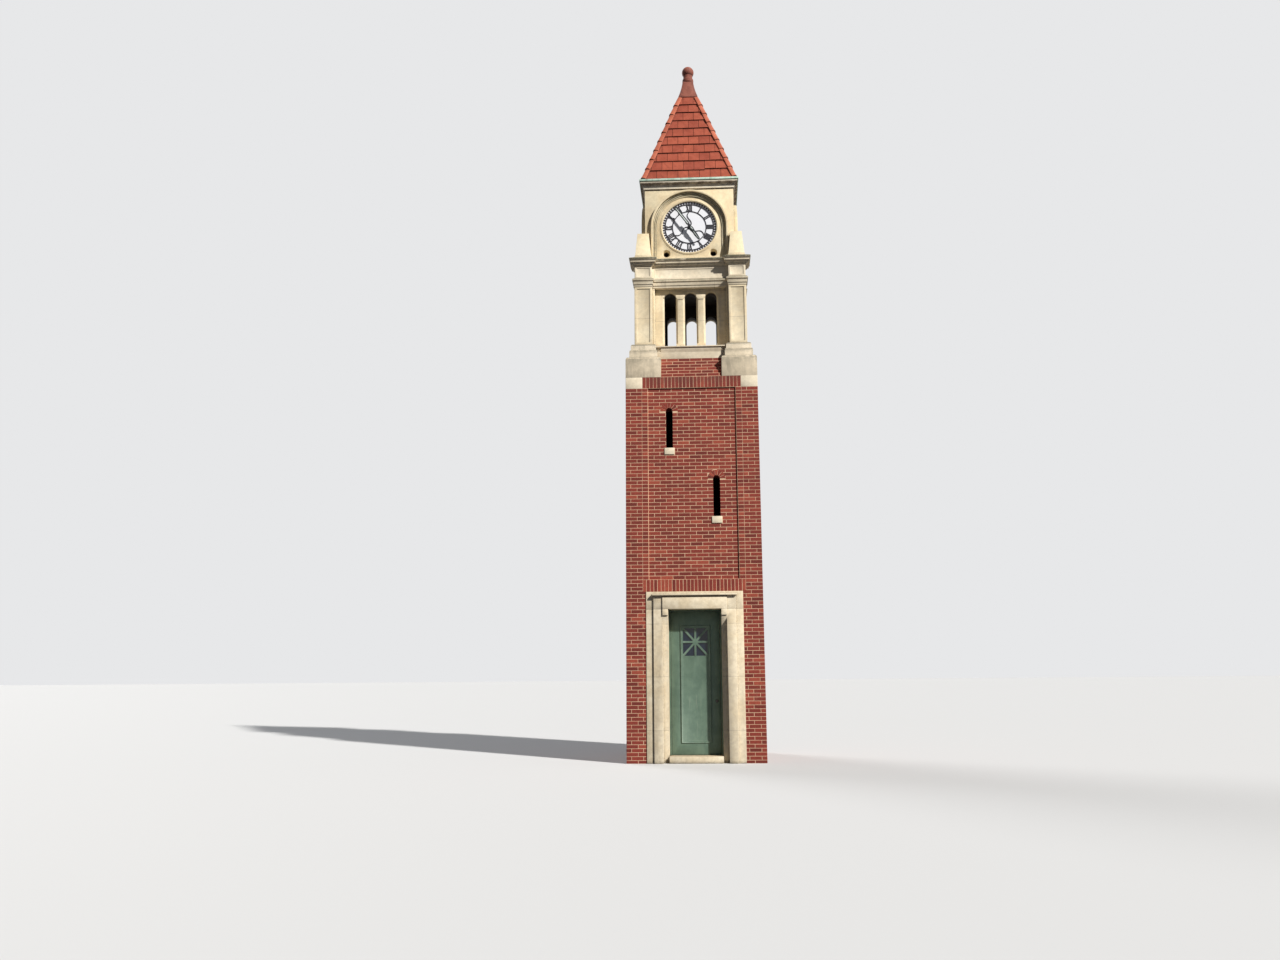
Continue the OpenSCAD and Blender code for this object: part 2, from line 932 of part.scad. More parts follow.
module dial_frame() {
    translate([0, -glass_front - dial_bar_gap, dial_z]) rotate([90, 0, 0]) {
        linear_extrude(dial_bar_t) {
            dial_ring_flat(dial_r - 2, dial_r - 18);
            dial_ring_flat(minute_ring_in + 8, minute_ring_in);
            dial_ring_flat(chapter_ring_r, chapter_ring_r - 8);
            for (hour = [0:11])
                rotate(30*hour) translate([-4, chapter_ring_r - 4])
                    square([8, dial_r - 6 - chapter_ring_r]);
            for (turn = [0, 120, 240]) rotate(turn) curved_bar();
            circle(boss_r);
        }
        cylinder(r = arbor_r, h = arbor_end - glass_front - dial_bar_gap);
        translate([0, 0, arbor_end - glass_front - dial_bar_gap - 4]) cylinder(r = arbor_r + 7, h = 5);
    }
}

module dial_frames() {
    color(metal_colour) each_side() dial_frame();
}

// A hand, drawn upwards and seen from outside
module hand_shape(length, width, tail) {
    polygon([[-width*0.32, 0], [-width/2, length*0.2], [-width*0.34, length*0.62], [0, length],
        [width*0.34, length*0.62], [width/2, length*0.2], [width*0.32, 0]]);
    polygon([[-width*0.3, 0], [-width*0.55, -tail*0.8], [-width*0.3, -tail],
        [width*0.3, -tail], [width*0.55, -tail*0.8], [width*0.3, 0]]);
}

module hand(length, width, tail, front, hub_r, hub_t, turn) {
    color(metal_colour)
        translate([0, -front, dial_z]) rotate([90, 0, 0]) rotate([0, 0, -turn]) difference() {
            union() {
                translate([0, 0, -hand_t]) linear_extrude(hand_t) hand_shape(length, width, tail);
                translate([0, 0, -hub_t + 2]) cylinder(r = hub_r, h = hub_t);
            }
            translate([0, 0, -hub_t]) cylinder(r = arbor_r + arbor_run, h = hub_t + 8);
        }
}

module minute_hand() {
    hand(minute_len, 44, 150, minute_front, 26, 12, rest_angle_minute);
}

module hour_hand() {
    hand(hour_len, 60, 110, hour_front, 32, 18, rest_angle_hour);
}

module front_minute_hand() {
    minute_hand();
}

module front_hour_hand() {
    hour_hand();
}

module right_minute_hand() {
    rotate([0, 0, 90]) minute_hand();
}

module right_hour_hand() {
    rotate([0, 0, 90]) hour_hand();
}

module back_minute_hand() {
    rotate([0, 0, 180]) minute_hand();
}

module back_hour_hand() {
    rotate([0, 0, 180]) hour_hand();
}

module left_minute_hand() {
    rotate([0, 0, -90]) minute_hand();
}

module left_hour_hand() {
    rotate([0, 0, -90]) hour_hand();
}

// Eaves cornice and the copper sheet on it
module eaves_cornice() {
    color(stone_colour) difference() {
        mitred(flashing_half) {
            member(eaves_fillet_half, eaves_z, eaves_z + eaves_fillet_h);
            cavetto(eaves_fillet_half, eaves_z + eaves_fillet_h, eaves_cavetto);
            member(eaves_fillet_half + eaves_cavetto, eaves_z + eaves_fillet_h + eaves_cavetto, eaves_top);
        }
        square_block(stage_inner, eaves_z - eps, eaves_top + eps);
    }
}

module roof_flashing() {
    lip_z = eaves_top + flashing_lip;
    top_half = roof_half + tile_butt + 8;
    color(copper_colour) difference() {
        crossed(flashing_half)
            polygon([[-flashing_half, eaves_top], [flashing_half, eaves_top], [flashing_half, lip_z],
                [top_half, roof_z], [-top_half, roof_z], [-flashing_half, lip_z]]);
        square_block(roof_half - roof_t, eaves_top - eps, roof_z + eps);
    }
}

// Roof: four steep slopes that meet at the hips, with tile courses as shallow steps
// outside and a plain face inside
function roof_half_at(z) = roof_half - (z - roof_z)*roof_slope;

module roof_side() {
    pitch = (roof_top - roof_z)/tile_courses;
    reach = roof_half + tile_butt;
    steps = [for (i = [0:tile_courses - 1], edge = [0, 1])
        [-roof_half_at(roof_z + pitch*(i + edge)) - (1 - edge)*tile_butt, roof_z + pitch*(i + edge)]];
    color(tile_colour) intersection() {
        rotate([90, 0, 90]) linear_extrude(2*reach, center = true)
            polygon(concat(steps, [[roof_t - roof_top_half, roof_top], [roof_t - roof_half, roof_z]]));
        translate([0, 0, roof_z]) linear_extrude(roof_top - roof_z)
            polygon([[0, 0], [-reach, -reach], [reach, -reach]]);
    }
}

module roof_front() {
    roof_side();
}

module roof_right() {
    rotate([0, 0, 90]) roof_side();
}

module roof_back() {
    rotate([0, 0, 180]) roof_side();
}

module roof_left() {
    rotate([0, 0, -90]) roof_side();
}

// Angled tiles that cover the four hips, each lapping over the one below. They lie on a
// bed that rests on the lower edges of the tile courses.
module hip_outline(length, t) {
    a = hip_angle/2;
    arm = [-length*cos(a), length*sin(a)];
    out = t*[sin(a), cos(a)];
    polygon([[0, 0], arm, arm + out, [t/sin(a), 0],
        [arm[0] + out[0], -arm[1] - out[1]], [arm[0], -arm[1]]]);
}

module hip_tiles() {
    hip_len = (hip_end_z - roof_z)/cos(hip_lean);
    pitch = (hip_len - hip_start)/hip_tiles_per_hip;
    bed_lift = (tile_butt*cos(atan(roof_slope)) + hip_bed_gap)/sin(hip_angle/2);
    color(tile_colour)
        for (k = [0:3])
            rotate([0, 0, 45 + 90*k]) translate([roof_half*sqrt(2), 0, roof_z]) rotate([0, -hip_lean, 0]) {
                translate([bed_lift, 0, hip_start])
                    linear_extrude(hip_len - hip_start - hip_gap) hip_outline(hip_bed_arm, hip_bed_t);
                for (i = [0:hip_tiles_per_hip - 1])
                    translate([hip_lift, 0, hip_start + pitch*i]) rotate([0, -hip_tilt, 0])
                        linear_extrude(pitch - hip_gap) hip_outline(hip_arm, hip_t);
            }
}

// Flared cap and ball at the top of the roof
module finial_cap() {
    spread = cap_half - cap_top_half;
    rise = cap_top - cap_low - cap_skirt;
    run = sqrt(spread*spread + rise*rise);
    flare_r = (run*run/4 + cap_hollow*cap_hollow)/(2*cap_hollow);
    reach = (flare_r - cap_hollow)/run;
    color(tile_colour) mitred(cap_half + eps) {
        member(cap_half, cap_low, cap_low + cap_skirt);
        difference() {
            member(cap_half, cap_low + cap_skirt, cap_top);
            translate([cap_top_half + spread/2 + reach*rise, cap_top - rise/2 + reach*spread])
                circle(flare_r, $fn = 360);
        }
    }
}

// Ball on a short neck, with a round collar where the neck stands on the cap
module finial_ball() {
    color(tile_colour) rotate_extrude() {
        translate([0, cap_top]) square([collar_r - collar_round, collar_h]);
        translate([0, cap_top + collar_round]) square([collar_r, collar_h - 2*collar_round]);
        for (rise = [collar_round, collar_h - collar_round])
            translate([collar_r - collar_round, cap_top + rise]) circle(collar_round);
        translate([0, cap_top + eps]) square([neck_r, ball_z - cap_top - eps]);
        intersection() {
            translate([0, ball_z]) circle(ball_r, $fn = 96);
            translate([0, ball_z - ball_r]) square([ball_r, 2*ball_r]);
        }
    }
}

floor_slab();
door_sill();
front_wall_left();
front_wall_right();
front_wall_upper();
back_wall();
left_wall();
right_wall();
door_jamb_left();
door_jamb_right();
door_lintel();
door_frame();
door_hinges();
door_leaf();
door_glass();
door_knob();
slit_sills();
corner_stones();
stepped_courses();
pier_plinths();
belfry_band();
belfry_floor();
belfry_piers();
front_arcade();
right_arcade();
back_arcade();
left_arcade();
architrave();
frieze();
main_cornice();
clock_floor();
corner_dies();
clock_wall_front();
clock_wall_right();
clock_wall_back();
clock_wall_left();
dial_hoods();
dial_glass();
dial_frames();
front_minute_hand();
front_hour_hand();
right_minute_hand();
right_hour_hand();
back_minute_hand();
back_hour_hand();
left_minute_hand();
left_hour_hand();
eaves_cornice();
roof_flashing();
roof_front();
roof_right();
roof_back();
roof_left();
hip_tiles();
finial_cap();
finial_ball();
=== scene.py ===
# The finish of a square brick clock tower: bricks and mortar, dressed stone, clay roof
# tiles, skeleton dials and a painted door. Metres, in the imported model's own frame.
import bmesh
import bpy
import json
import math
import random
from mathutils import Matrix, Vector

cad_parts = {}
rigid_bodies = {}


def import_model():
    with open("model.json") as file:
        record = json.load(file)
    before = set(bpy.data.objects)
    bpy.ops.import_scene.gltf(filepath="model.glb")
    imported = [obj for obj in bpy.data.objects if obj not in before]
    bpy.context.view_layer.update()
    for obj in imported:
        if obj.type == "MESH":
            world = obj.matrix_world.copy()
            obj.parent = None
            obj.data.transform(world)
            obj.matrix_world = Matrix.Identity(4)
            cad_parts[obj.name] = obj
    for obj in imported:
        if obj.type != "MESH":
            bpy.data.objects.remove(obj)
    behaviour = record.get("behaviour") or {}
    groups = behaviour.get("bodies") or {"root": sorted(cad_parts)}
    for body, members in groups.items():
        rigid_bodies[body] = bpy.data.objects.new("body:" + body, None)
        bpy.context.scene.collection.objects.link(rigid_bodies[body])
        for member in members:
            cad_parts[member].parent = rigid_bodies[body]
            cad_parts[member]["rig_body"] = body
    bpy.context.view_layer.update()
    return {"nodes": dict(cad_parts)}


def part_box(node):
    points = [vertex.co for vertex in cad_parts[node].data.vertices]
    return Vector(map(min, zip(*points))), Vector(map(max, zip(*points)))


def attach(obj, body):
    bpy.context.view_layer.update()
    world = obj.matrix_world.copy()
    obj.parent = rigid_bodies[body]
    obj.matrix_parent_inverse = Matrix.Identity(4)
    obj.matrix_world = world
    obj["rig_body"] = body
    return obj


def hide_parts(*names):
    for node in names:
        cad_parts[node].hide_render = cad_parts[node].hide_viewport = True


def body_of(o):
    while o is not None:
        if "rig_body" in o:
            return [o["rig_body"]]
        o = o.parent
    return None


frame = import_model()
SCENE = bpy.context.scene

# Sides of the tower, as quarter turns from the front
SIDES = {"front": 0, "right": 1, "back": 2, "left": 3}

# Brickwork
SHAFT_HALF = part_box("back_wall")[1].x
SHAFT_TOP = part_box("back_wall")[1].z
PANEL_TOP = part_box("corner_stones")[0].z
COURSE = 0.0667
JOINT = 0.0066
STRETCHER = 0.2035
HEADER = 0.087
BRICK_DEPTH = 0.092
BRICK_CHAMFER = 0.003
BRICK_SINK = 0.0012
BRICK_SLACK = 0.0009
MORTAR_RECESS = 0.0028
SHORTEST_BRICK = 0.02
PANEL_LOW = 3.190
PANEL_LOW_BED = 48
PANEL_HALF = 0.810
PANEL_SINK = 0.025
REVEAL_POINTING = 0.0025
STRIP_HALF = 0.920
BOND = 0.216
CORNER_STONE = 0.310
SURROUND_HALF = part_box("door_lintel")[1].x
SURROUND_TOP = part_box("door_lintel")[1].z
ORANGE_SHARE = 0.09
REDDEST = 0.85
TONE_SPREAD = 0.24
MARGIN = 0.001

# Window slits
SLIT_EDGE = 0.062
SLIT_RISE = 0.691
SLITS = [(-0.418, 5.600), (0.430, 4.324)]
SILL_HALF = 0.092
SILL_HEIGHT = 0.124
VOUSSOIRS = 7
VOUSSOIR_OUTER = 0.165
VOUSSOIR_PROUD = 0.0015
VOUSSOIR_LAP = 0.006
VOUSSOIR_CHAMFER = 0.0024
VOUSSOIR_HALF_JOINT = 0.42*JOINT

# Stepped courses under the belfry
STEPS = 6
STEP_BACK = 0.030
STEP_HALF = 0.565
FILLET_HEIGHT = 0.018
FILLET_FOOT = 0.003
FILLET_DEEP = 0.02

# Mouldings of the stone, as (distance from the tower's middle, height), and the hoods' beads, as
# (radius, half width, how proud)
BED_MOULD = [(1.020, 7.466), (1.040, 7.466), (1.046, 7.486), (1.056, 7.510), (1.062, 7.530),
             (1.062, 7.5585), (1.020, 7.5585)]
WALL_FACE = -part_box("clock_wall_front")[0].y
HOOD_BEADS = [(0.692, 0.006, 0.012), (0.662, 0.004, 0.006), (0.634, 0.004, 0.005)]
ARCH_STEPS = 48
BEAD_GRIP = 0.002

# Roof; the rings of a hip tile are (up from its lower end, height over the slopes, reach of a
# wing, thickness), and the last is at its upper end
ROOF_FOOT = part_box("roof_front")[0].z
ROOF_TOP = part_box("roof_front")[1].z
ROOF_HALF = 0.892
ROOF_TOP_HALF = 0.170
ROOF_LEAN = math.atan((ROOF_HALF - ROOF_TOP_HALF)/(ROOF_TOP - ROOF_FOOT))
ROOF_RUN = (ROOF_TOP - ROOF_FOOT)/math.cos(ROOF_LEAN)
TILE_ROWS = 10
TILES_BESIDE = 5
TILE_WIDTH = 0.210
TILE_THICK = 0.018
TILE_BUTT = 0.032
TILE_HEAD = 0.006
TILE_LAP = 0.050
TILE_GAP = 0.0025
TILE_EDGE = 0.003
TILE_UNEVEN = (-0.002, 0.003)
NARROWEST_TILE = 0.03
EAVES_LAP = 0.01
DIAGONAL = 1.4
SLIPPED_ROW = 1
SLIP = (0.012, 0.014)
BOARDS_OUT = 0.014
BOARDS_IN = 0.085
HIP_ROWS = 9
HIP_END = 13.168
HIP_LAP = 0.03
HIP_UNEVEN = 0.004
HIP_WOBBLE = 0.003
HIP_RINGS = [(0.0, 0.040, 0.092, 0.010), (0.005, 0.040, 0.092, 0.014), (0.07, 0.032, 0.088, 0.014)]
HIP_UPPER_RING = (0.026, 0.082, 0.012)
HIP_HALF_ANGLE = math.acos(-math.sin(ROOF_LEAN)**2)/2
HIP_BOW = 0.5
HIP_DROP = 0.57
HIP_DARKEST = 0.4
HIP_CREASE = 35

# Dials; rings, teeth and numerals as (inner, outer) radius, how far each kind of bar lies behind
# the front of the rings, and letters as (width, strokes from foot to head)
DIAL_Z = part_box("dial_glass")[0].z/2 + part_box("dial_glass")[1].z/2
BARS_BACK = 0.843
BARS_FRONT = 0.850
MINUTE_RING = (0.460, 0.480)
TEETH = (0.478, 0.520)
TOOTH_HALVES = (0.013, 0.0145)
CHAPTER_RING = (0.318, 0.335)
NUMERALS_AT = (0.342, 0.454)
BEHIND = {"teeth": 0.0005, "thin strokes": 0.0007, "rails": 0.0012, "ties": 0.0016}
RAIL_HALF = 0.003
RAIL_LAP = 0.004
SCROLL_BOW = 0.039
SCROLL_HALF = 0.008
BAR_EDGE = 0.0008
BOSS = 0.042
ARBOR = 0.012
NUT = 0.019
NUT_GRIP = 0.004
ARBOR_FRONT = 0.962
RING_STEPS = 96
BOSS_STEPS = 40
ARBOR_STEPS = 24
SCROLL_STEPS = 24
NUMERALS = ["XII", "I", "II", "III", "IIII", "V", "VI", "VII", "VIII", "IX", "X", "XI"]
STROKE_THICK = 0.021
STROKE_THIN = 0.010
SERIF = 0.012
LETTERS = {"I": (0.031, [(0, 0, STROKE_THICK)]),
           "V": (0.064, [(0, -1, STROKE_THICK), (0, 1, STROKE_THIN)]),
           "X": (0.064, [(1, -1, STROKE_THICK), (-1, 1, STROKE_THIN)])}

# Hands, as (length, turn at rest, front), and how a blade starts, keeps its width and ends
HANDS = {"minute": (0.487, 324.0, 0.952), "hour": (0.345, 147.0, 0.930)}
BLADE_START = 0.045
BLADE_FULL = 0.7
BLADE_END = 0.32

# Door; its moulding is (away from the opening, out)
LEAF_FRONT = 0.930
FIELD_HALF = 0.222
FIELD_RISE = (0.368, 2.334)
DOOR_MOULD = [(0.0, -0.006), (0.0, 0.001), (0.030, 0.010), (0.034, 0.013), (0.040, 0.013),
              (0.046, 0.004), (0.046, -0.006)]
MOULD_CREASE = 40


def colour(red, green, blue):
    """A colour as it looks on a screen, 0 to 255, turned into the renderer's own values."""
    def linear(value):
        part = value/255
        return part/12.92 if part <= 0.04045 else ((part + 0.055)/1.055)**2.4
    return (linear(red), linear(green), linear(blue), 1.0)


# Shader groups

class Wiring:
    """Short calls for the nodes of the finishes. A colour of three numbers is as on a screen, and
    one of four is in the renderer's own values."""

    def __init__(self, tree, owner=None):
        self.tree = tree
        self.owner = owner

    def put(self, target, value):
        if isinstance(value, bpy.types.NodeSocket):
            self.tree.links.new(value, target)
        elif isinstance(value, tuple) and len(value) == 3:
            target.default_value = colour(*value)
        else:
            target.default_value = value

    def node(self, kind, settings=None, **inputs):
        made = self.tree.nodes.new(kind)
        for key, value in (settings or {}).items():
            setattr(made, key, value)
        for label, value in inputs.items():
            self.put(made.inputs[label.replace("_", " ")], value)
        return made

    def place(self):
        return self.node("ShaderNodeTexCoord").outputs["Object"]

    def facing(self):
        return self.node("ShaderNodeNewGeometry").outputs["True Normal"]

    def noise(self, vector, scale, detail=4.0, rough=0.55, distortion=0.0):
        return self.node("ShaderNodeTexNoise", Vector=vector, Scale=scale, Detail=detail,
                         Roughness=rough, Distortion=distortion).outputs["Fac"]

    def stretch(self, vector, x, y, z):
        made = self.node("ShaderNodeVectorMath", {"operation": "MULTIPLY"})
        self.put(made.inputs[0], vector)
        made.inputs[1].default_value = (x, y, z)
        return made.outputs[0]

    def maths(self, operation, *values):
        made = self.node("ShaderNodeMath", {"operation": operation})
        for slot, value in zip(made.inputs, values):
            self.put(slot, value)
        return made.outputs[0]

    def times(self, first, second):
        return self.maths("MULTIPLY", first, second)

    def ramp(self, value, low, high, to_low=0.0, to_high=1.0):
        return self.node("ShaderNodeMapRange", {"interpolation_type": "SMOOTHSTEP"}, Value=value,
                         From_Min=low, From_Max=high, To_Min=to_low, To_Max=to_high).outputs["Result"]

    def blend(self, amount, first, second):
        made = self.node("ShaderNodeMix", {"data_type": "RGBA"})
        for slot, value in ((0, amount), (6, first), (7, second)):
            self.put(made.inputs[slot], value)
        return made.outputs[2]

    def coats(self, body, *coats):
        """The colour with coats over it, each a mask, how strong it is and its own colour."""
        for mask, strength, tint in coats:
            body = self.blend(self.times(mask, strength), body, tint)
        return body

    def split(self, vector):
        return self.node("ShaderNodeSeparateXYZ", Vector=vector).outputs

    def group(self, tree, **inputs):
        return self.node("ShaderNodeGroup", {"node_tree": tree}, **inputs).outputs

    def mask(self, tree, **inputs):
        return self.group(tree, **inputs)["Mask"]

    def bump(self, height, strength, distance):
        return self.node("ShaderNodeBump", Height=height, Strength=strength,
                         Distance=distance).outputs["Normal"]


def make_group(name, work, inputs, outputs=("Mask",)):
    """A node group of plain numbers; work is given its wiring and inputs, and returns its outputs."""
    group = bpy.data.node_groups.new(name, "ShaderNodeTree")
    for way, labels in (("INPUT", inputs), ("OUTPUT", outputs)):
        for label in labels:
            group.interface.new_socket(label, in_out=way, socket_type="NodeSocketFloat")
    w = Wiring(group)
    given = group.nodes.new("NodeGroupInput").outputs
    out = group.nodes.new("NodeGroupOutput").inputs
    for label, value in zip(outputs, work(w, given)):
        w.put(out[label], value)
    return group


def mottle(w, given):
    """Broad and fine variation of a mineral surface, and a height for its grain."""
    place = w.place()
    cloud = w.noise(place, given["Scale"], 5.0, 0.6, 0.3)
    fine = w.noise(place, given["Grain"], 3.0, 0.6)
    pits = w.ramp(w.noise(place, w.times(given["Grain"], 0.35), 2.0), 0.30, 0.48)
    return w.ramp(cloud, 0.32, 0.68), fine, w.maths("MULTIPLY_ADD", pits, 0.7, w.times(fine, 0.5))


def rain_streaks(w, given):
    """Stains that rain draws down a wall; Length is how much taller than wide they are."""
    x, y, z = w.split(w.place())
    drop = w.maths("DIVIDE", z, given["Length"])
    across = w.maths("ADD", x, w.times(y, 1.13))
    drawn = w.node("ShaderNodeCombineXYZ", X=across, Y=w.times(y, 0.31), Z=drop).outputs[0]
    runs = w.noise(drawn, given["Scale"], 4.0, 0.6, 0.2)
    patches = w.noise(w.place(), 1.7, 2.0)
    edge = w.maths("SUBTRACT", 0.78, w.times(given["Cover"], 0.45))
    strong = w.ramp(runs, edge, w.maths("ADD", edge, 0.16))
    return [w.times(strong, w.ramp(patches, 0.35, 0.6))]


def ledge_grime(w, given):
    """Grime that lies on what faces up, broken at its edges."""
    broken = w.noise(w.place(), given["Scale"], 4.0, 0.65)
    lifted = w.maths("ADD", w.split(w.facing())[2], w.times(w.maths("SUBTRACT", broken, 0.5), 0.5))
    return [w.ramp(lifted, given["Reach"], w.maths("ADD", given["Reach"], 0.25))]


def arrises(w, given):
    """Edges, where a surface is rubbed or chipped, found from a rounded copy of its normal."""
    rounded = w.node("ShaderNodeBevel", {"samples": 4}, Radius=given["Radius"]).outputs[0]
    dot = w.node("ShaderNodeVectorMath", {"operation": "DOT_PRODUCT"})
    w.put(dot.inputs[0], rounded)
    w.put(dot.inputs[1], w.facing())
    turned_away = w.ramp(dot.outputs["Value"], 0.995, 0.90)
    return [w.times(turned_away, w.ramp(w.noise(w.place(), given["Break"], 4.0, 0.65), 0.38, 0.62))]


def painted_corner_shade(w, given):
    """Painted shade in inner corners and under laps, within Reach of what stands over them, broken up by
    noise.
    """
    shut_in = w.node("ShaderNodeAmbientOcclusion", {"samples": 4}, Distance=given["Reach"]).outputs["AO"]
    broken = w.ramp(w.noise(w.place(), given["Break"], 3.0, 0.6), 0.25, 0.55, 0.6, 1.0)
    return [w.times(w.ramp(shut_in, 0.88, 0.50), broken)]


def inside_painted_shade(w, given):
    """Painted shade on what lies further in than Limit from the outer faces of the tower, fading in over
    Fade.
    """
    x, y, z = w.split(w.place())
    from_middle = w.maths("MAXIMUM", w.maths("ABSOLUTE", x), w.maths("ABSOLUTE", y))
    return [w.ramp(from_middle, given["Limit"], w.maths("SUBTRACT", given["Limit"], given["Fade"]))]


def stain_and_shade_band(w, given):
    """A band below a level line, from Low up to High, broken into runs; it carries stains, and painted
    shade under a ledge.
    """
    z = w.split(w.place())[2]
    below = w.maths("LESS_THAN", z, w.maths("ADD", given["High"], 0.012))
    runs = w.noise(w.stretch(w.place(), 1.0, 1.0, 0.22), 13.0, 5.0, 0.62)
    clouds = w.noise(w.stretch(w.place(), 1.0, 1.0, 2.5), 4.5, 4.0, 0.6)
    broken = w.times(w.ramp(runs, 0.32, 0.62, 0.45, 1.0), w.ramp(clouds, 0.3, 0.55, 0.35, 1.0))
    return [w.times(w.times(w.ramp(z, given["Low"], given["High"]), below), broken)]


def stone_joints(w, given):
    """Fine upright and level joints between blocks of stone."""
    x, y, z = w.split(w.place())

    def line(value, shift, spacing):
        step = w.maths("DIVIDE", w.maths("ADD", value, shift), spacing)
        off = w.maths("ABSOLUTE", w.maths("SUBTRACT", w.maths("FRACT", step), 0.5))
        near = w.times(w.maths("SUBTRACT", 0.5, off), spacing)
        return w.ramp(near, w.times(given["Width"], 0.9), w.times(given["Width"], 0.3))

    side_on = w.maths("GREATER_THAN", w.maths("ABSOLUTE", w.split(w.facing())[0]), 0.7)
    along = w.maths("ADD", w.times(x, w.maths("SUBTRACT", 1.0, side_on)), w.times(y, side_on))
    upright = line(along, given["Along Shift"], given["Length"])
    return [w.maths("MAXIMUM", upright, line(z, given["Bed Shift"], given["Course"]))]


MOTTLE = make_group("Mottle", mottle, ["Scale", "Grain"], ["Cloud", "Fine", "Height"])
STREAKS = make_group("Rain streaks", rain_streaks, ["Scale", "Length", "Cover"])
LEDGE = make_group("Ledge grime", ledge_grime, ["Scale", "Reach"])
ARRISES = make_group("Arrises", arrises, ["Radius", "Break"])
CORNER_SHADE_GROUP = make_group("Painted corner shade", painted_corner_shade, ["Reach", "Break"])
INSIDE_SHADE_GROUP = make_group("Inside painted shade", inside_painted_shade, ["Limit", "Fade"])
STAIN_AND_SHADE_GROUP = make_group("Stain and shade band", stain_and_shade_band, ["Low", "High"])
STONE_JOINTS = make_group("Stone joints", stone_joints,
                          ["Length", "Course", "Along Shift", "Bed Shift", "Width"])


# Materials

def new_material(name, scale=None, grain=None):
    """The wiring of a new material, with its mottle as w.grain."""
    material = bpy.data.materials.new(name)
    material.use_nodes = True
    w = Wiring(material.node_tree, material)
    if scale:
        w.grain = w.group(MOTTLE, Scale=scale, Grain=grain)
    return w


def finish(w, body, rough, relief=None, height=None, **others):
    """Sets the sockets of the shader. rough can be a range, and relief is (strength, distance) of
    the height or else of the grain."""
    shader = w.tree.nodes["Principled BSDF"].inputs
    if isinstance(rough, tuple):
        rough = w.ramp(w.grain["Fine"], 0.3, 0.7, *rough)
    for label, value in {"Base Color": body, "Roughness": rough, **others}.items():
        w.put(shader[label.replace("_", " ")], value)
    if relief:
        height = w.grain["Height"] if height is None else height
        w.put(shader["Normal"], w.bump(height, *relief))
    return w.owner


def tone_of(w):
    """The number that each brick or tile carries, from 0 to 1."""
    return w.node("ShaderNodeAttribute", {"attribute_name": "tone"}).outputs["Fac"]


def with_stain_and_shade(w, body, stain, stain_and_shade_levels):
    """The colour darkened in each band below a level line, given as (low, high, amount) and its own colour
    if it has one; most bands are stains, and some are painted shade."""
    for low, high, amount, *own in stain_and_shade_levels:
        body = w.coats(body, (w.mask(STAIN_AND_SHADE_GROUP, Low=low, High=high), amount, own[0] if own else stain))
    return body


def make_brick():
    w = new_material("brick_red_fired", 26.0, 420.0)
    tone = tone_of(w)
    red = w.blend(w.ramp(tone, 0.0, REDDEST), (108, 37, 27), (146, 58, 43))
    body = w.coats(w.blend(w.ramp(tone, 0.86, 0.98), red, (164, 74, 54)),
                   (w.grain["Cloud"], 0.32, (86, 34, 25)),
                   (w.ramp(w.grain["Fine"], 0.55, 0.75), 0.25, (172, 94, 66)),
                   (w.mask(ARRISES, Radius=0.005, Break=90.0), 0.28, (178, 98, 72)),
                   (w.mask(STREAKS, Scale=9.0, Length=7.0, Cover=0.35), 0.10, (190, 150, 126)))
    body = with_stain_and_shade(w, body, (92, 62, 52), [(6.72, 6.93, 0.5), (6.95, 7.35, 0.25)])
    return finish(w, body, (0.78, 0.95), (0.45, 0.0018))


def make_mortar(name, dull, light):
    w = new_material(name, 5.0, 420.0)
    body = w.coats(w.blend(w.grain["Cloud"], dull, light),
                   (w.ramp(w.grain["Fine"], 0.5, 0.8), 0.35, (150, 118, 98)))
    body = with_stain_and_shade(w, body, (120, 94, 80), [(6.72, 6.93, 0.6)])
    return finish(w, body, 0.95, (0.6, 0.003))


def make_stone(name, pale, warm, grime, amounts, stain_and_shade_levels=(), joints=None, corners=0.06):
    """Cream limestone. amounts are (streaks, ledges, cover of streaks, painted shade in corners),
    levels are (low, high, amount) of bands of stain and painted shade, some with a colour of their own,
    joints are (length, course, shift along, shift up) and corners is how far the painted shade reaches
    out of an inner corner. All that lies further in than the outer faces gets painted shade as well."""
    w = new_material(name, 2.6, 240.0)
    on_runs, on_ledges, cover, amount_of_corner_shade = amounts
    body = w.coats(w.blend(w.grain["Cloud"], pale, warm),
                   (w.group(MOTTLE, Scale=14.0, Grain=60.0)["Cloud"], 0.22, grime),
                   (w.ramp(w.grain["Fine"], 0.5, 0.8), 0.15, grime),
                   (w.mask(STREAKS, Scale=11.0, Length=8.0, Cover=cover), on_runs, grime))
    body = w.coats(with_stain_and_shade(w, body, grime, stain_and_shade_levels),
                   (w.mask(ARRISES, Radius=0.010, Break=45.0), 0.45, (252, 243, 222)),
                   (w.mask(LEDGE, Scale=16.0, Reach=0.25), on_ledges, grime),
                   # Painted shade in inner corners, reaching out as far as corners says.
                   (w.mask(CORNER_SHADE_GROUP, Reach=corners, Break=24.0), amount_of_corner_shade, (72, 62, 50)),
                   # Painted shade, dark brown, on all that lies inside the tower.
                   (w.mask(INSIDE_SHADE_GROUP, Limit=0.828, Fade=0.09), 1.0, (52, 45, 38)))
    height = w.grain["Height"]
    if joints:
        length, course, along, up = joints
        line = w.mask(STONE_JOINTS, Length=length, Course=course, Along_Shift=along, Bed_Shift=up,
                      Width=0.005)
        body = w.coats(body, (line, 0.5, (128, 112, 92)))
        height = w.maths("SUBTRACT", height, w.times(line, 1.5))
    return finish(w, body, (0.68, 0.88), (0.3, 0.002), height)


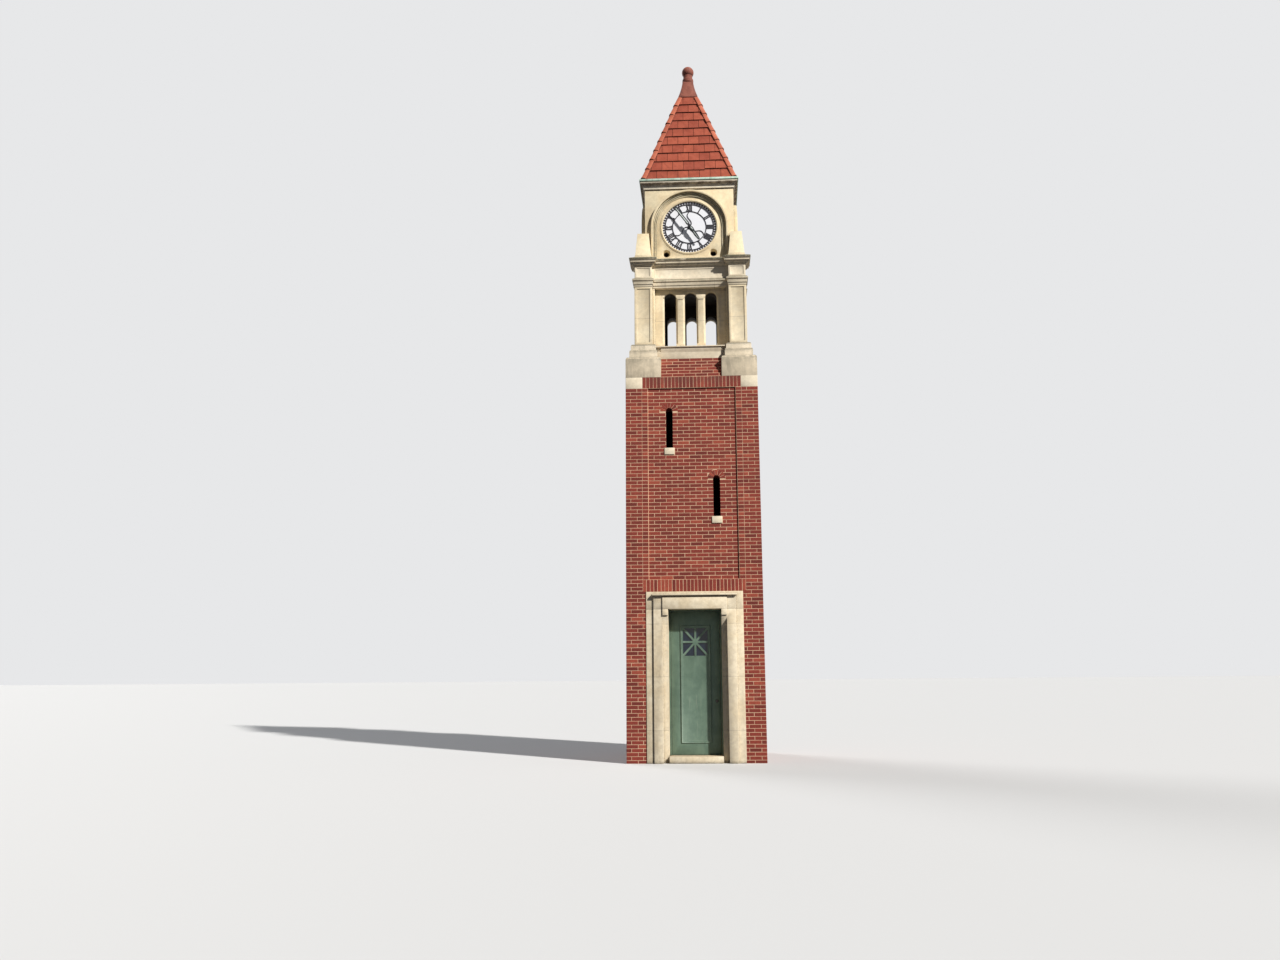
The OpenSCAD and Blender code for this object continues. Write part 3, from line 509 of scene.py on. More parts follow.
def make_tile(name, low, high, dark, bloom, stain):
    """Fired clay for the tiles and the finial, with painted shade under its laps and on its faces that
    turn down.
    """
    w = new_material(name, 7.0, 240.0)
    body = w.coats(w.blend(tone_of(w), low, high),
                   (w.grain["Cloud"], 0.3, dark),
                   (w.mask(STREAKS, Scale=16.0, Length=6.0, Cover=0.6), stain, dark),
                   (w.ramp(w.grain["Fine"], 0.58, 0.8), 0.22, bloom),
                   (w.mask(ARRISES, Radius=0.008, Break=70.0), 0.35, bloom))
    # Painted shade: faces that turn down, and the corner shade under the laps, go dark brown.
    under = w.times(w.ramp(w.split(w.facing())[2], -0.35, -0.75), 0.9)
    painted_tile_shade = w.maths("MAXIMUM", w.times(w.mask(CORNER_SHADE_GROUP, Reach=0.075, Break=40.0), 0.85), under)
    uneven = w.ramp(w.grain["Cloud"], 0.0, 1.0, 0.72, 0.86)
    return finish(w, w.blend(painted_tile_shade, body, (52, 18, 13)), uneven, (0.35, 0.002))


def make_paint():
    """Old green paint, with the wood showing through."""
    w = new_material("door_paint_green", 5.0, 180.0)
    wood = w.noise(w.stretch(w.place(), 60.0, 60.0, 2.2), 1.0, 5.0, 0.6, 0.8)
    body = w.coats(w.blend(w.grain["Cloud"], (84, 106, 90), (100, 122, 104)),
                   (w.ramp(wood, 0.5, 0.75), 0.35, (60, 82, 68)),
                   (w.mask(STREAKS, Scale=22.0, Length=10.0, Cover=0.45), 0.3, (146, 154, 136)),
                   (w.mask(ARRISES, Radius=0.006, Break=55.0), 0.55, (170, 182, 162)))
    return finish(w, body, (0.42, 0.62), (0.25, 0.0012), wood)


def make_metal(name, body, worn, roughness=0.55, metallic=0.0):
    """Painted or cast metal with rubbed arrises."""
    w = new_material(name, 14.0, 350.0)
    rubbed = w.coats(body, (w.grain["Cloud"], 0.35, worn),
                     (w.mask(ARRISES, Radius=0.004, Break=80.0), 0.7, worn))
    return finish(w, rubbed, (roughness - 0.08, roughness + 0.1), (0.2, 0.001), Metallic=metallic)


def make_copper():
    w = new_material("copper_verdigris", 6.0, 160.0)
    body = w.coats(w.blend(w.grain["Cloud"], (178, 212, 190), (214, 232, 216)),
                   (w.mask(STREAKS, Scale=18.0, Length=5.0, Cover=0.7), 0.55, (96, 118, 100)))
    return finish(w, body, 0.62, (0.3, 0.0015))


def make_opal():
    w = new_material("opal_glass", 4.0, 40.0)
    body = w.blend(w.grain["Cloud"], (253, 253, 255), (248, 248, 252))
    return finish(w, body, 0.18, (0.05, 0.002), w.grain["Fine"], Coat_Weight=0.4)


def make_window_glass():
    w = new_material("door_pane_glass")
    dust = w.times(w.ramp(w.noise(w.place(), 30.0, 5.0, 0.7), 0.5, 0.8), 0.25)
    body = w.blend(dust, (22, 32, 46), (96, 104, 108))
    return finish(w, body, 0.06, (0.15, 0.01), w.noise(w.place(), 9.0, 2.0))


BRICK = make_brick()
MORTAR = make_mortar("mortar_lime", (214, 174, 142), (230, 194, 160))
MORTAR_WEATHERED = make_mortar("mortar_weathered", (166, 122, 98), (190, 148, 120))
GRIME = (146, 136, 116)
OLIVE_GRIME = (84, 80, 58)
# Cream stone of the clock stage; its dark band from 10.800 to 10.828 is a painted shadow under the eaves'
# fillet.
STONE_CLEAN = make_stone(
    "stone_cream", (246, 229, 190), (238, 215, 172), GRIME, (0.30, 0.45, 0.35, 0.5),
    [(10.800, 10.828, 1.8, (74, 62, 50))])
STONE_PALE = make_stone(
    "stone_pale", (248, 234, 206), (238, 222, 192), GRIME, (0.25, 0.4, 0.35, 0.4), corners=0.04)
STONE_PIER = make_stone(
    "stone_cream_jointed", (242, 226, 192), (230, 210, 172), GRIME, (0.28, 0.4, 0.3, 0.55),
    joints=(2.0, 0.59, 0.4, 0.12))
STONE_PLINTH = make_stone(
    "stone_plinth", (230, 213, 184), (214, 198, 170), (132, 124, 106), (0.45, 0.75, 0.7, 0.6),
    [(7.08, 7.29, 0.6), (7.39, 7.47, 0.6), (7.53, 7.60, 0.5)])
STONE_BAND = make_stone(
    "stone_belfry_band", (240, 225, 198), (224, 208, 180), GRIME, (0.3, 0.0, 0.5, 0.4), corners=0.03)
STONE_MOULDING = make_stone(
    "stone_moulding", (240, 225, 196), (224, 208, 178), (118, 110, 88), (0.35, 0.75, 0.5, 0.6),
    [(8.89, 8.93, 0.9, OLIVE_GRIME), (9.286, 9.314, 2.0, OLIVE_GRIME)],
    joints=(0.93, 3.0, 0.465, 0.4), corners=0.03)
# The eaves' band from 10.868 to 10.94, over the hollow moulding under the copper lip, is partly stain and
# partly painted shade.
STONE_EAVES = make_stone(
    "stone_eaves", (252, 240, 216), (242, 228, 200), (110, 98, 84), (0.10, 0.8, 0.4, 0.35),
    [(10.868, 10.94, 1.2, (104, 88, 74))], corners=0.03)
STONE_STAINED = make_stone(
    "stone_stained_beads", (246, 234, 202), (226, 216, 180), (136, 132, 104), (0.5, 0.5, 0.6, 0.6),
    corners=0.02)
STONE_DOOR = make_stone(
    "stone_doorway", (246, 231, 201), (233, 214, 179), (126, 106, 80), (0.4, 0.5, 0.45, 0.75),
    joints=(9.0, 0.92, 3.1, 0.36))
FLOOR_STONE = make_stone(
    "floor_screed", (170, 164, 152), (150, 144, 132), (110, 104, 94), (0.3, 0.0, 0.2, 0.4))
# A darker copy of the floor stone: painted shade for the floors inside the belfry and the clock stage.
FLOOR_SHADED = make_stone("floor_painted_shade", (96, 88, 76), (82, 74, 64), (60, 54, 46), (0.3, 0.0, 0.2, 0.4))
TILE = make_tile("clay_tile", (152, 66, 42), (178, 86, 58), (110, 42, 27), (204, 120, 88), 0.3)
HIP_CLAY = make_tile("clay_hip", (172, 88, 62), (202, 112, 82), (124, 52, 34), (222, 150, 116), 0.3)
TERRACOTTA = make_tile("terracotta", (146, 82, 64), (166, 100, 80), (72, 38, 38), (208, 164, 140), 0.9)
PAINT = make_paint()
BLACK_METAL = make_metal("cast_charcoal", (22, 18, 25), (50, 46, 54))
HAND_METAL = make_metal("hand_weathered", (18, 22, 24), (50, 58, 56))
HAND_PALE = make_metal("hand_pale", (240, 246, 240), (196, 208, 198), 0.5)
DOOR_METAL = make_metal("door_ironmongery", (44, 44, 44), (120, 112, 98), 0.45, 0.6)
COPPER = make_copper()
OPAL = make_opal()
PANE = make_window_glass()


# Mesh making; edges closer than WELD are joined, faces that turn less than FLAT_WITHIN degrees are
# one, edges over WORN_OVER are worn round and those over CREASE_OVER look crisp

WELD = 0.00005
FLAT_WITHIN = 0.5
WORN_OVER = 38
CREASE_OVER = 30


def quarter_turned(point, quarter):
    """A point on the front, carried to another side of the tower."""
    x, y, z = point
    for _ in range(quarter):
        x, y = -y, x
    return Vector((x, y, z))


def chamfered_faces():
    """Faces of a chamfered block whose point 3*corner + axis lies on the face across that axis."""
    def outward(face, odd):
        return face[::-1] if odd else face

    faces = [outward([3*i, 3*i + 1, 3*i + 2], bin(i).count("1") % 2 == 0) for i in range(8)]
    for axis in range(3):
        b, c = (axis + 1) % 3, (axis + 2) % 3
        for sign in (0, 1):
            ring = [sign << axis | sb << b | sc << c for sb, sc in ((0, 0), (1, 0), (1, 1), (0, 1))]
            faces.append(outward([3*i + axis for i in ring], not sign))
            for other in (0, 1):
                start = sign << b | other << c
                end = start | 1 << axis
                faces.append(outward([3*start + b, 3*end + b, 3*end + c, 3*start + c], sign == other))
    return faces


BLOCK_FACES = chamfered_faces()


def loft(rings, loop=False, inside_out=False):
    """Points and faces of a closed solid over rings of points, joined end to end or else capped."""
    count = len(rings[0])
    last = len(rings) - 1
    faces = [] if loop else [list(range(count))[::-1], [last*count + i for i in range(count)]]
    for here in range(last + 1 if loop else last):
        after = (here + 1) % len(rings)
        for i in range(count):
            j = (i + 1) % count
            faces.append([here*count + i, here*count + j, after*count + j, after*count + i])
    if inside_out:
        faces = [face[::-1] for face in faces]
    return [point for ring in rings for point in ring], faces


class Heap:
    """Small closed solids gathered into one mesh, on the side of the tower that quarter names; each
    carries a tone from 0 to 1."""

    def __init__(self, seed="plain", quarter=0):
        self.rng = random.Random(seed)
        self.quarter = quarter
        self.points = []
        self.faces = []
        self.tones = []

    def add(self, points, faces, tone=0.5):
        start = len(self.points)
        self.points += points
        self.faces += [[start + i for i in face] for face in faces]
        self.tones += [tone]*len(faces)

    def brick(self, corner, chamfer=BRICK_CHAMFER):
        """A chamfered block; corner gives its point at the low or high end (0 or 1) of x, y and z.
        Most bricks are middling red, some are burnt dark and a few are orange."""
        corners = [Vector(corner(i & 1, i >> 1 & 1, i >> 2 & 1)) for i in range(8)]
        tone = 1.0
        if self.rng.random() >= ORANGE_SHARE:
            tone = min(REDDEST, max(0.0, self.rng.gauss(0.5, TONE_SPREAD)))
        points = []
        for i, point in enumerate(corners):
            steps = [(corners[i ^ 1 << a] - point).normalized()*chamfer for a in range(3)]
            points += [quarter_turned(point + steps[axis - 1] + steps[axis - 2], self.quarter)
                       for axis in range(3)]
        self.add(points, BLOCK_FACES, tone)

    def piece(self, name, material, slot, body="tower", sharp=None):
        mesh = bpy.data.meshes.new(name)
        mesh.from_pydata(self.points, [], self.faces)
        mesh.attributes.new("tone", "FLOAT", "FACE").data.foreach_set("value", self.tones)
        return settle(mesh, name, material, body, sharp)


def put_in_scene(name, data):
    thing = bpy.data.objects.new(name, data)
    SCENE.collection.objects.link(thing)
    return thing


def settle(mesh, name, material, body="tower", sharp=None):
    """Makes the piece from its mesh; edges sharper than the angle stay crisp."""
    mesh.materials.clear()
    mesh.materials.append(material)
    if sharp:
        mesh.shade_smooth()
        mesh.set_sharp_from_angle(angle=math.radians(sharp))
    else:
        mesh.shade_flat()
    mesh.update()
    piece = put_in_scene(name, mesh)
    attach(piece, body)
    return piece


def dressed(material, slot, *nodes, worn=0.004):
    """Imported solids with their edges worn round, standing for their nodes."""
    for node in nodes:
        dress(node, material, worn)


def dress(node, material, worn):
    mesh = bpy.data.meshes.new(f"{node}_dressed")
    solid = bmesh.new()
    solid.from_mesh(frame["nodes"][node].data)
    bmesh.ops.remove_doubles(solid, verts=solid.verts, dist=WELD)
    bmesh.ops.dissolve_limit(solid, angle_limit=math.radians(FLAT_WITHIN), verts=solid.verts,
                             edges=solid.edges)
    edges = [e for e in solid.edges
             if len(e.link_faces) == 2 and e.calc_face_angle(0.0) > math.radians(WORN_OVER)]
    bmesh.ops.bevel(solid, geom=edges, offset=worn, offset_type="OFFSET", segments=2, profile=0.5,
                    affect="EDGES", clamp_overlap=True)
    bmesh.ops.triangulate(solid, faces=[f for f in solid.faces if len(f.verts) > 4])
    solid.to_mesh(mesh)
    solid.free()
    body = body_of(frame["nodes"][node])[0]
    piece = settle(mesh, f"{node}_dressed", material, body, CREASE_OVER)
    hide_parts(node)


# Brickwork

def bed(number):
    """Height of a bed joint, counted from the ground."""
    return PANEL_LOW + (number - PANEL_LOW_BED)*COURSE


def rows(low, high):
    """Number, bottom and top of each row of bricks between two heights."""
    first = math.floor((low - bed(0))/COURSE)
    last = math.ceil((high - bed(0))/COURSE)
    for number in range(first, last):
        bottom = max(bed(number), low) + JOINT/2
        top = min(bed(number + 1), high) - JOINT/2
        if top - bottom > SHORTEST_BRICK:
            yield number, bottom, top


def bonded(half, number):
    """A row split where its upright joints fall; odd rows are half a brick on."""
    shift = BOND/2 if number % 2 else BOND
    joints = [-half + shift + BOND*i for i in range(math.ceil(2*half/BOND) + 1)]
    inner = [j for j in joints if -half + SHORTEST_BRICK < j < half - SHORTEST_BRICK]
    ends = [-half, *inner, half]
    return [(a + JOINT/2, b - JOINT/2) for a, b in zip(ends, ends[1:])]


def clear_of(parts, gaps):
    """What is left of a row's bricks beside the openings. A part is (start, end, start at its top,
    end at its top) and a gap has the same four numbers, so that ends can lean."""
    for low, high, low_top, high_top in gaps:
        parts = ([(a, min(b, low), c, min(d, low_top)) for a, b, c, d in parts]
                 + [(max(a, high), b, max(c, high_top), d) for a, b, c, d in parts])
        parts = [p for p in parts if min(p[1] - p[0], p[3] - p[2]) > SHORTEST_BRICK]
    return parts


def slit_gaps(bottom, top):
    """What slits, their sills and their brick heads take out of a row."""
    gaps = []
    reach = VOUSSOIR_OUTER - VOUSSOIR_LAP
    for x, foot in SLITS:
        half = half_top = None
        springing = foot + SLIT_RISE
        if bottom < foot - JOINT and top > foot - SILL_HEIGHT:
            half = half_top = SILL_HALF + JOINT
        elif foot - JOINT < bottom < springing - COURSE/2:
            half = half_top = SLIT_EDGE
        elif springing - COURSE/2 <= bottom < springing + reach:
            half = math.sqrt(reach*reach - max(0.0, bottom - springing)**2)
            half_top = math.sqrt(max(0.0, reach*reach - max(0.0, top - springing)**2))
        if half is not None:
            gaps.append((x - half, x + half, x - half_top, x + half_top))
    return gaps


def lay(heap, across, up, face=SHAFT_HALF):
    """One brick; across and up are its ends, and face is its distance from the tower's middle. Two
    more numbers in across are its ends at the top, where they lean."""
    sink = heap.rng.uniform(0.0, BRICK_SINK)
    slack = [heap.rng.uniform(-BRICK_SLACK, BRICK_SLACK) for _ in range(3)]
    ends = (across[:2], across[-2:])
    heap.brick(lambda x, y, z: (ends[z][x] + slack[x], sink + BRICK_DEPTH*y - face, up[z] + slack[2]))


def lay_corner(heap, number, up):
    """The brick that turns a corner, long on one side and short on the next."""
    wide, deep = (HEADER, STRETCHER) if (number + heap.quarter) % 2 else (STRETCHER, HEADER)
    heap.brick(lambda x, y, z: (SHAFT_HALF - wide*(1 - x), -SHAFT_HALF + deep*y, up[z]))


def pier_bricks(number, quarter, inner, right):
    """Bricks between the corner brick and the inner end of a pier, on one half of a side."""
    start = SHAFT_HALF - (HEADER if (number + quarter) % 2 else STRETCHER) - JOINT
    ends = [start + JOINT/2]
    if start - inner > STRETCHER + SHORTEST_BRICK:
        ends.append(start - STRETCHER - JOINT/2)
    ends.append(inner - JOINT/2)
    spans = [(b + JOINT/2, a - JOINT/2) for a, b in zip(ends, ends[1:]) if a - b > 2*SHORTEST_BRICK]
    return spans if right else [(-b, -a) for a, b in spans]


def lay_soldiers(heap, half, low, high):
    """Bricks standing on end in one level band."""
    count = round(2*half/COURSE)
    pitch = 2*half/count
    for i in range(count):
        start = -half + pitch*i
        lay(heap, (start + JOINT/2, start + pitch - JOINT/2), (low + JOINT/2, high - JOINT/2))


def lay_slit_heads(heap):
    """Rings of tapered bricks over the round heads of the slits."""
    front = -(SHAFT_HALF - PANEL_SINK + VOUSSOIR_PROUD)
    for middle, foot in SLITS:
        for i in range(VOUSSOIRS):
            def corner(x, y, z):
                radius = (SLIT_EDGE, VOUSSOIR_OUTER)[z]
                angle = math.pi*(i + 1 - x)/VOUSSOIRS + (2*x - 1)*VOUSSOIR_HALF_JOINT/radius
                return (middle + radius*math.cos(angle), front + BRICK_DEPTH*y,
                        foot + SLIT_RISE + radius*math.sin(angle))
            heap.brick(corner, VOUSSOIR_CHAMFER)


def lay_side(name, quarter):
    """All the bricks of one side of the shaft, with the corner on its right."""
    heap = Heap(f"bricks of the {name}", quarter)
    doorway = name == "front"
    for number, bottom, top in rows(0.0, PANEL_TOP):
        lay_corner(heap, number, (bottom, top))
        beside_door = doorway and bottom < SURROUND_TOP - JOINT
        inner = SURROUND_HALF - JOINT/2 if beside_door else STRIP_HALF
        for right in (True, False):
            for span in pier_bricks(number, quarter, inner, right):
                lay(heap, span, (bottom, top))
    if not doorway:
        for number, bottom, top in rows(0.0, SURROUND_TOP):
            for span in bonded(STRIP_HALF, number):
                lay(heap, span, (bottom, top))
    reveal = PANEL_HALF + REVEAL_POINTING
    strip = STRIP_HALF - JOINT/2
    for number, bottom, top in rows(PANEL_LOW, PANEL_TOP):
        spans = [(*ends, *ends) for ends in bonded(PANEL_HALF, number)]
        for span in clear_of(spans, slit_gaps(bottom, top)):
            lay(heap, span, (bottom, top), SHAFT_HALF - PANEL_SINK)
        for span in ((reveal, strip), (-strip, -reveal)):
            lay(heap, span, (bottom, top))
    lay_slit_heads(heap)
    lay_soldiers(heap, STRIP_HALF, SURROUND_TOP, PANEL_LOW)
    lay_soldiers(heap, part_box("corner_stones")[1].x - CORNER_STONE, PANEL_TOP, SHAFT_TOP)
    heap.piece(f"{name}_bricks", BRICK, "brick")


def lay_steps():
    heap = Heap("stepped bricks")
    for heap.quarter in SIDES.values():
        for step in range(STEPS):
            bottom = SHAFT_TOP + COURSE*step
            for span in bonded(STEP_HALF, step):
                lay(heap, span, (bottom + JOINT/2, bottom + COURSE - JOINT/4),
                    SHAFT_HALF - STEP_BACK*(step + 1))
    heap.piece("stepped_bricks", BRICK, "brick")


def run_section(heap, section):
    """A straight run between the plinths of a section of (distance out, height)."""
    heap.add(*loft([[quarter_turned((x, -out, up), heap.quarter) for out, up in section]
                    for x in (-STEP_HALF, STEP_HALF)]))


def run_fillets():
    """Sloping mortar in the angle over each stepped course."""
    heap = Heap()
    for heap.quarter in SIDES.values():
        for step in range(STEPS):
            lower = SHAFT_HALF - STEP_BACK*step - FILLET_FOOT
            upper = lower - STEP_BACK + MARGIN
            z = SHAFT_TOP + COURSE*step - JOINT/4
            top = z + FILLET_HEIGHT
            run_section(heap, [(lower, z), (upper, top), (upper - FILLET_DEEP, top),
                               (upper - FILLET_DEEP, z)])
    heap.piece("stepped_fillets", MORTAR_WEATHERED, "brick")


def mortar_behind(node, beyond):
    """The wall itself as mortar, with its outer faces set back; its reveals and inside are brick."""
    mesh = frame["nodes"][node].data.copy()
    for vertex in mesh.vertices:
        for axis in (0, 1):
            if abs(vertex.co[axis]) > beyond:
                vertex.co[axis] -= math.copysign(MORTAR_RECESS, vertex.co[axis])
    piece = settle(mesh, f"{node}_mortar", MORTAR)
    mesh.materials.append(BRICK)
    for face in mesh.polygons:
        if max(abs(face.center.x), abs(face.center.y)) < beyond - 2*MORTAR_RECESS:
            face.material_index = 1
    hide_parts(node)


def build_brickwork():
    for name, quarter in SIDES.items():
        lay_side(name, quarter)
    lay_steps()
    run_fillets()
    for node in ("front_wall_left", "front_wall_right", "front_wall_upper", "back_wall", "left_wall",
                 "right_wall"):
        mortar_behind(node, SHAFT_HALF - PANEL_SINK - MARGIN)
    mortar_behind("stepped_courses", SHAFT_HALF - STEP_BACK*STEPS - MARGIN)


# Mouldings of the stone

def run_mouldings():
    """The bed mould under the belfry's sill, and the fine beads inside each hood."""
    heap = Heap()
    for heap.quarter in SIDES.values():
        run_section(heap, BED_MOULD)
    heap.piece("band_bed_mould", STONE_BAND, "stone", sharp=CREASE_OVER)
    heap = Heap()
    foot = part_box("dial_hoods")[0].z - DIAL_Z
    for heap.quarter in SIDES.values():
        for radius, half, proud in HOOD_BEADS:
            arch = round_line(radius, 2*ARCH_STEPS)[:ARCH_STEPS + 1]
            dial_band(heap, [(radius, foot), *arch, (-radius, foot)], half,
                      back=WALL_FACE - BEAD_GRIP, front=WALL_FACE + proud)
    heap.piece("hood_beads", STONE_STAINED, "stone", sharp=CREASE_OVER)


def glaze(node, material):
    materials = frame["nodes"][node].data.materials
    materials.clear()
    materials.append(material)


# Roof

def on_roof(across, run, lift, quarter):
    """A point on a slope: distance across, distance up the slope, and height above it."""
    back = ROOF_HALF - run*math.sin(ROOF_LEAN) + lift*math.cos(ROOF_LEAN)
    up = ROOF_FOOT + run*math.cos(ROOF_LEAN) + lift*math.sin(ROOF_LEAN)
    return quarter_turned((across, -back, up), quarter)


def within_hips(outline):
    """The part of a tile's outline between the two hips."""
    for side in (1, -1):
        def inside(point):
            return ROOF_HALF - TILE_THICK - point[1]*math.sin(ROOF_LEAN) - side*point[0]
        kept = []
        for i, point in enumerate(outline):
            before = outline[i - 1]
            if inside(point)*inside(before) < 0:
                share = inside(before)/(inside(before) - inside(point))
                kept.append((before[0] + (point[0] - before[0])*share,
                             before[1] + (point[1] - before[1])*share))
            if inside(point) >= 0:
                kept.append(point)
        outline = kept
    return outline


def shrunk(outline, amount):
    """An outline whose sides move in by the amount, and its corners by more, as DIAGONAL says."""
    mid_x = sum(p[0] for p in outline)/len(outline)
    mid_y = sum(p[1] for p in outline)/len(outline)
    moved = []
    for x, y in outline:
        span = math.hypot(x - mid_x, y - mid_y)
        keep = max(0.0, 1 - amount*DIAGONAL/span) if span else 0
        moved.append((mid_x + (x - mid_x)*keep, mid_y + (y - mid_y)*keep))
    return moved


def lay_tile(heap, left, low, high, slip):
    """One clay tile; its lower end rides on the course below."""
    right = left + TILE_WIDTH - TILE_GAP
    left += TILE_GAP
    outline = within_hips([(left, low - slip), (right, low - slip), (right, high), (left, high)])
    if len(outline) < 3 or max(p[0] for p in outline) - min(p[0] for p in outline) < NARROWEST_TILE:
        return
    rise = heap.rng.uniform(*TILE_UNEVEN)

    def ring(points, under):
        lifts = [TILE_BUTT + rise + (TILE_HEAD - TILE_BUTT)*(y - low)/(high - low) for _, y in points]
        return [on_roof(x, y, lift - under, heap.quarter) for (x, y), lift in zip(points, lifts)]

    heap.add(*loft([ring(outline, TILE_THICK), ring(outline, TILE_EDGE),
                    ring(shrunk(outline, TILE_EDGE), 0.0)]), heap.rng.random())


def lay_tiles():
    """Plain clay tiles on the four slopes; part of one row has slipped on the front."""
    pitch = ROOF_RUN/TILE_ROWS
    for name, quarter in SIDES.items():
        heap = Heap(f"tiles of the {name}", quarter)
        for row in range(TILE_ROWS):
            low = pitch*row - (0.0 if row else EAVES_LAP)
            for i in range(-TILES_BESIDE, TILES_BESIDE + 1):
                left = TILE_WIDTH*i + (TILE_WIDTH/2 if row % 2 else 0.0)
                if name == "front" and row == SLIPPED_ROW and left < TILE_WIDTH:
                    slip = SLIP[0] + SLIP[1]*(left + ROOF_HALF)/ROOF_HALF
                else:
                    slip = heap.rng.uniform(*TILE_UNEVEN)
                lay_tile(heap, left, low, low + pitch + TILE_LAP, slip)
        heap.piece(f"{name}_roof_tiles", TILE, "roof_tile")


def build_roof_boards():
    """The closed slopes under the tiles, hollow inside."""
    heap = Heap()
    sizes = [(ROOF_HALF - BOARDS_OUT, ROOF_FOOT), (ROOF_TOP_HALF - BOARDS_OUT, ROOF_TOP),
             (ROOF_TOP_HALF - BOARDS_IN, ROOF_TOP), (ROOF_HALF - BOARDS_IN, ROOF_FOOT)]
    corners = [(1, 1), (-1, 1), (-1, -1), (1, -1)]
    rings = [[(half*x, half*y, z) for x, y in corners] for half, z in sizes]
    heap.add(*loft(rings, loop=True), 0.0)
    piece = heap.piece("roof_boards", TILE, "roof_tile")
    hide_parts("roof_front", "roof_right", "roof_back", "roof_left")


def hip_section(height, wing, thick):
    """Outer then inner points of a hip tile's section, as (beside, out of the hip line)."""
    sine, cosine = math.sin(HIP_HALF_ANGLE), math.cos(HIP_HALF_ANGLE)
    points = []
    for lift in (height + thick, height):
        side = []
        for share in (1.0, 0.75, HIP_BOW, HIP_BOW/2, 0.0):
            drop = wing*HIP_BOW*cosine*HIP_DROP*max(0.0, 1 - share/HIP_BOW)
            side.append((wing*share*sine, lift/sine - wing*share*cosine - drop))
        points.append([(-y, z) for y, z in side] + side[-2::-1])
    return points[0] + points[1][::-1]


def lay_hips():
    """Angled tiles over the four hips, each lapping over the one below."""
    heap = Heap("hip tiles")
    lean = math.atan((ROOF_HALF - ROOF_TOP_HALF)*math.sqrt(2)/(ROOF_TOP - ROOF_FOOT))
    pitch = (HIP_END - ROOF_FOOT)/math.cos(lean)/HIP_ROWS
    upwards = Vector((0, 0, 1))
    for quarter in range(4):
        turn = math.pi/4 + math.pi/2*quarter
        away = Vector((math.cos(turn), math.sin(turn), 0.0))
        beside = Vector((-math.sin(turn), math.cos(turn), 0.0))
        along = upwards*math.cos(lean) - away*math.sin(lean)
        out = away*math.cos(lean) + upwards*math.sin(lean)
        foot = away*ROOF_HALF*math.sqrt(2) + Vector((0, 0, ROOF_FOOT))
        for i in range(HIP_ROWS):
            start = pitch*i + heap.rng.uniform(-HIP_UNEVEN, HIP_UNEVEN)
            wobble = heap.rng.uniform(-HIP_WOBBLE, HIP_WOBBLE)
            end = pitch + (HIP_LAP if i < HIP_ROWS - 1 else 0.0)
            rings = [[foot + along*(start + up) + beside*(y + wobble) + out*z
                      for y, z in hip_section(*section)]
                     for up, *section in (*HIP_RINGS, (end, *HIP_UPPER_RING))]
            tone = HIP_DARKEST + heap.rng.random()*(1 - HIP_DARKEST)
            heap.add(*loft(rings, inside_out=True), tone)
    piece = heap.piece("hip_tiles_clay", HIP_CLAY, "roof_tile", sharp=HIP_CREASE)
    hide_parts("hip_tiles")


# Dials

def on_dial(across, up, turn, out, quarter):
    """A point of a dial: across to the right and up from its middle, after a turn clockwise."""
    sine, cosine = math.sin(math.radians(turn)), math.cos(math.radians(turn))
    return quarter_turned((up*sine + across*cosine, -out, DIAL_Z + up*cosine - across*sine), quarter)


def dial_plate(heap, outline, turn, back, front, edge=BAR_EDGE):
    """A flat bar of a dial or hand, cut to an outline that runs anticlockwise."""
    heap.add(*loft([[on_dial(x, y, turn, out, heap.quarter) for x, y in ring] for ring, out in
                    ((outline, back), (outline, front - edge), (shrunk(outline, edge), front))]))


def dial_band(heap, centre_line, half_width, turn=0.0, closed=False, back=BARS_BACK,
              front=BARS_FRONT):
    """A bar of one width that follows a line of points."""
    count = len(centre_line)
    rings = []
    for i, (x, y) in enumerate(centre_line):
        ahead = centre_line[(i + 1) % count] if closed or i < count - 1 else (x, y)
        behind = centre_line[i - 1] if closed or i else (x, y)
        way = Vector((ahead[0] - behind[0], ahead[1] - behind[1])).normalized()*half_width
        rings.append([on_dial(x - way.y*side, y + way.x*side, turn, out, heap.quarter)
                      for side, out in ((-1, back), (1, back), (1, front), (-1, front))])
    heap.add(*loft(rings, loop=closed))


def round_line(radius, steps):
    return [(radius*math.cos(2*math.pi*i/steps), radius*math.sin(2*math.pi*i/steps)) for i in range(steps)]


def numeral_strokes(numeral):
    """Where each stroke of a roman number meets the foot and the head, and its width."""
    left = -sum(LETTERS[letter][0] for letter in numeral)/2
    strokes = []
    for wide, parts in (LETTERS[letter] for letter in numeral):
        reach = wide/2 - SERIF
        strokes += [(left + wide/2 + foot*reach, left + wide/2 + head*reach, width)
                    for foot, head, width in parts]
        left += wide
    return strokes


def cut_numeral(heap, turn, numeral):
    """A number with the rails along its foot and head, and the ties that hold it to the rings."""
    foot, head = NUMERALS_AT
    strokes = numeral_strokes(numeral)
    for low, high, width in strokes:
        front = BARS_FRONT - (0.0 if width == STROKE_THICK else BEHIND["thin strokes"])
        dial_plate(heap, [(low - width/2, foot), (low + width/2, foot), (high + width/2, head),
                          (high - width/2, head)], turn, BARS_BACK, front)
    wide = max(high + width/2 for low, high, width in strokes) + RAIL_LAP
    bars = [("rails", (-wide, foot), (wide, foot)), ("rails", (-wide, head), (wide, head)),
            ("ties", (0.0, CHAPTER_RING[1] - RAIL_LAP), (0.0, foot)),
            ("ties", (0.0, head), (0.0, MINUTE_RING[0] + RAIL_LAP))]
    for kind, *ends in bars:
        dial_band(heap, ends, RAIL_HALF, turn, front=BARS_FRONT - BEHIND[kind])


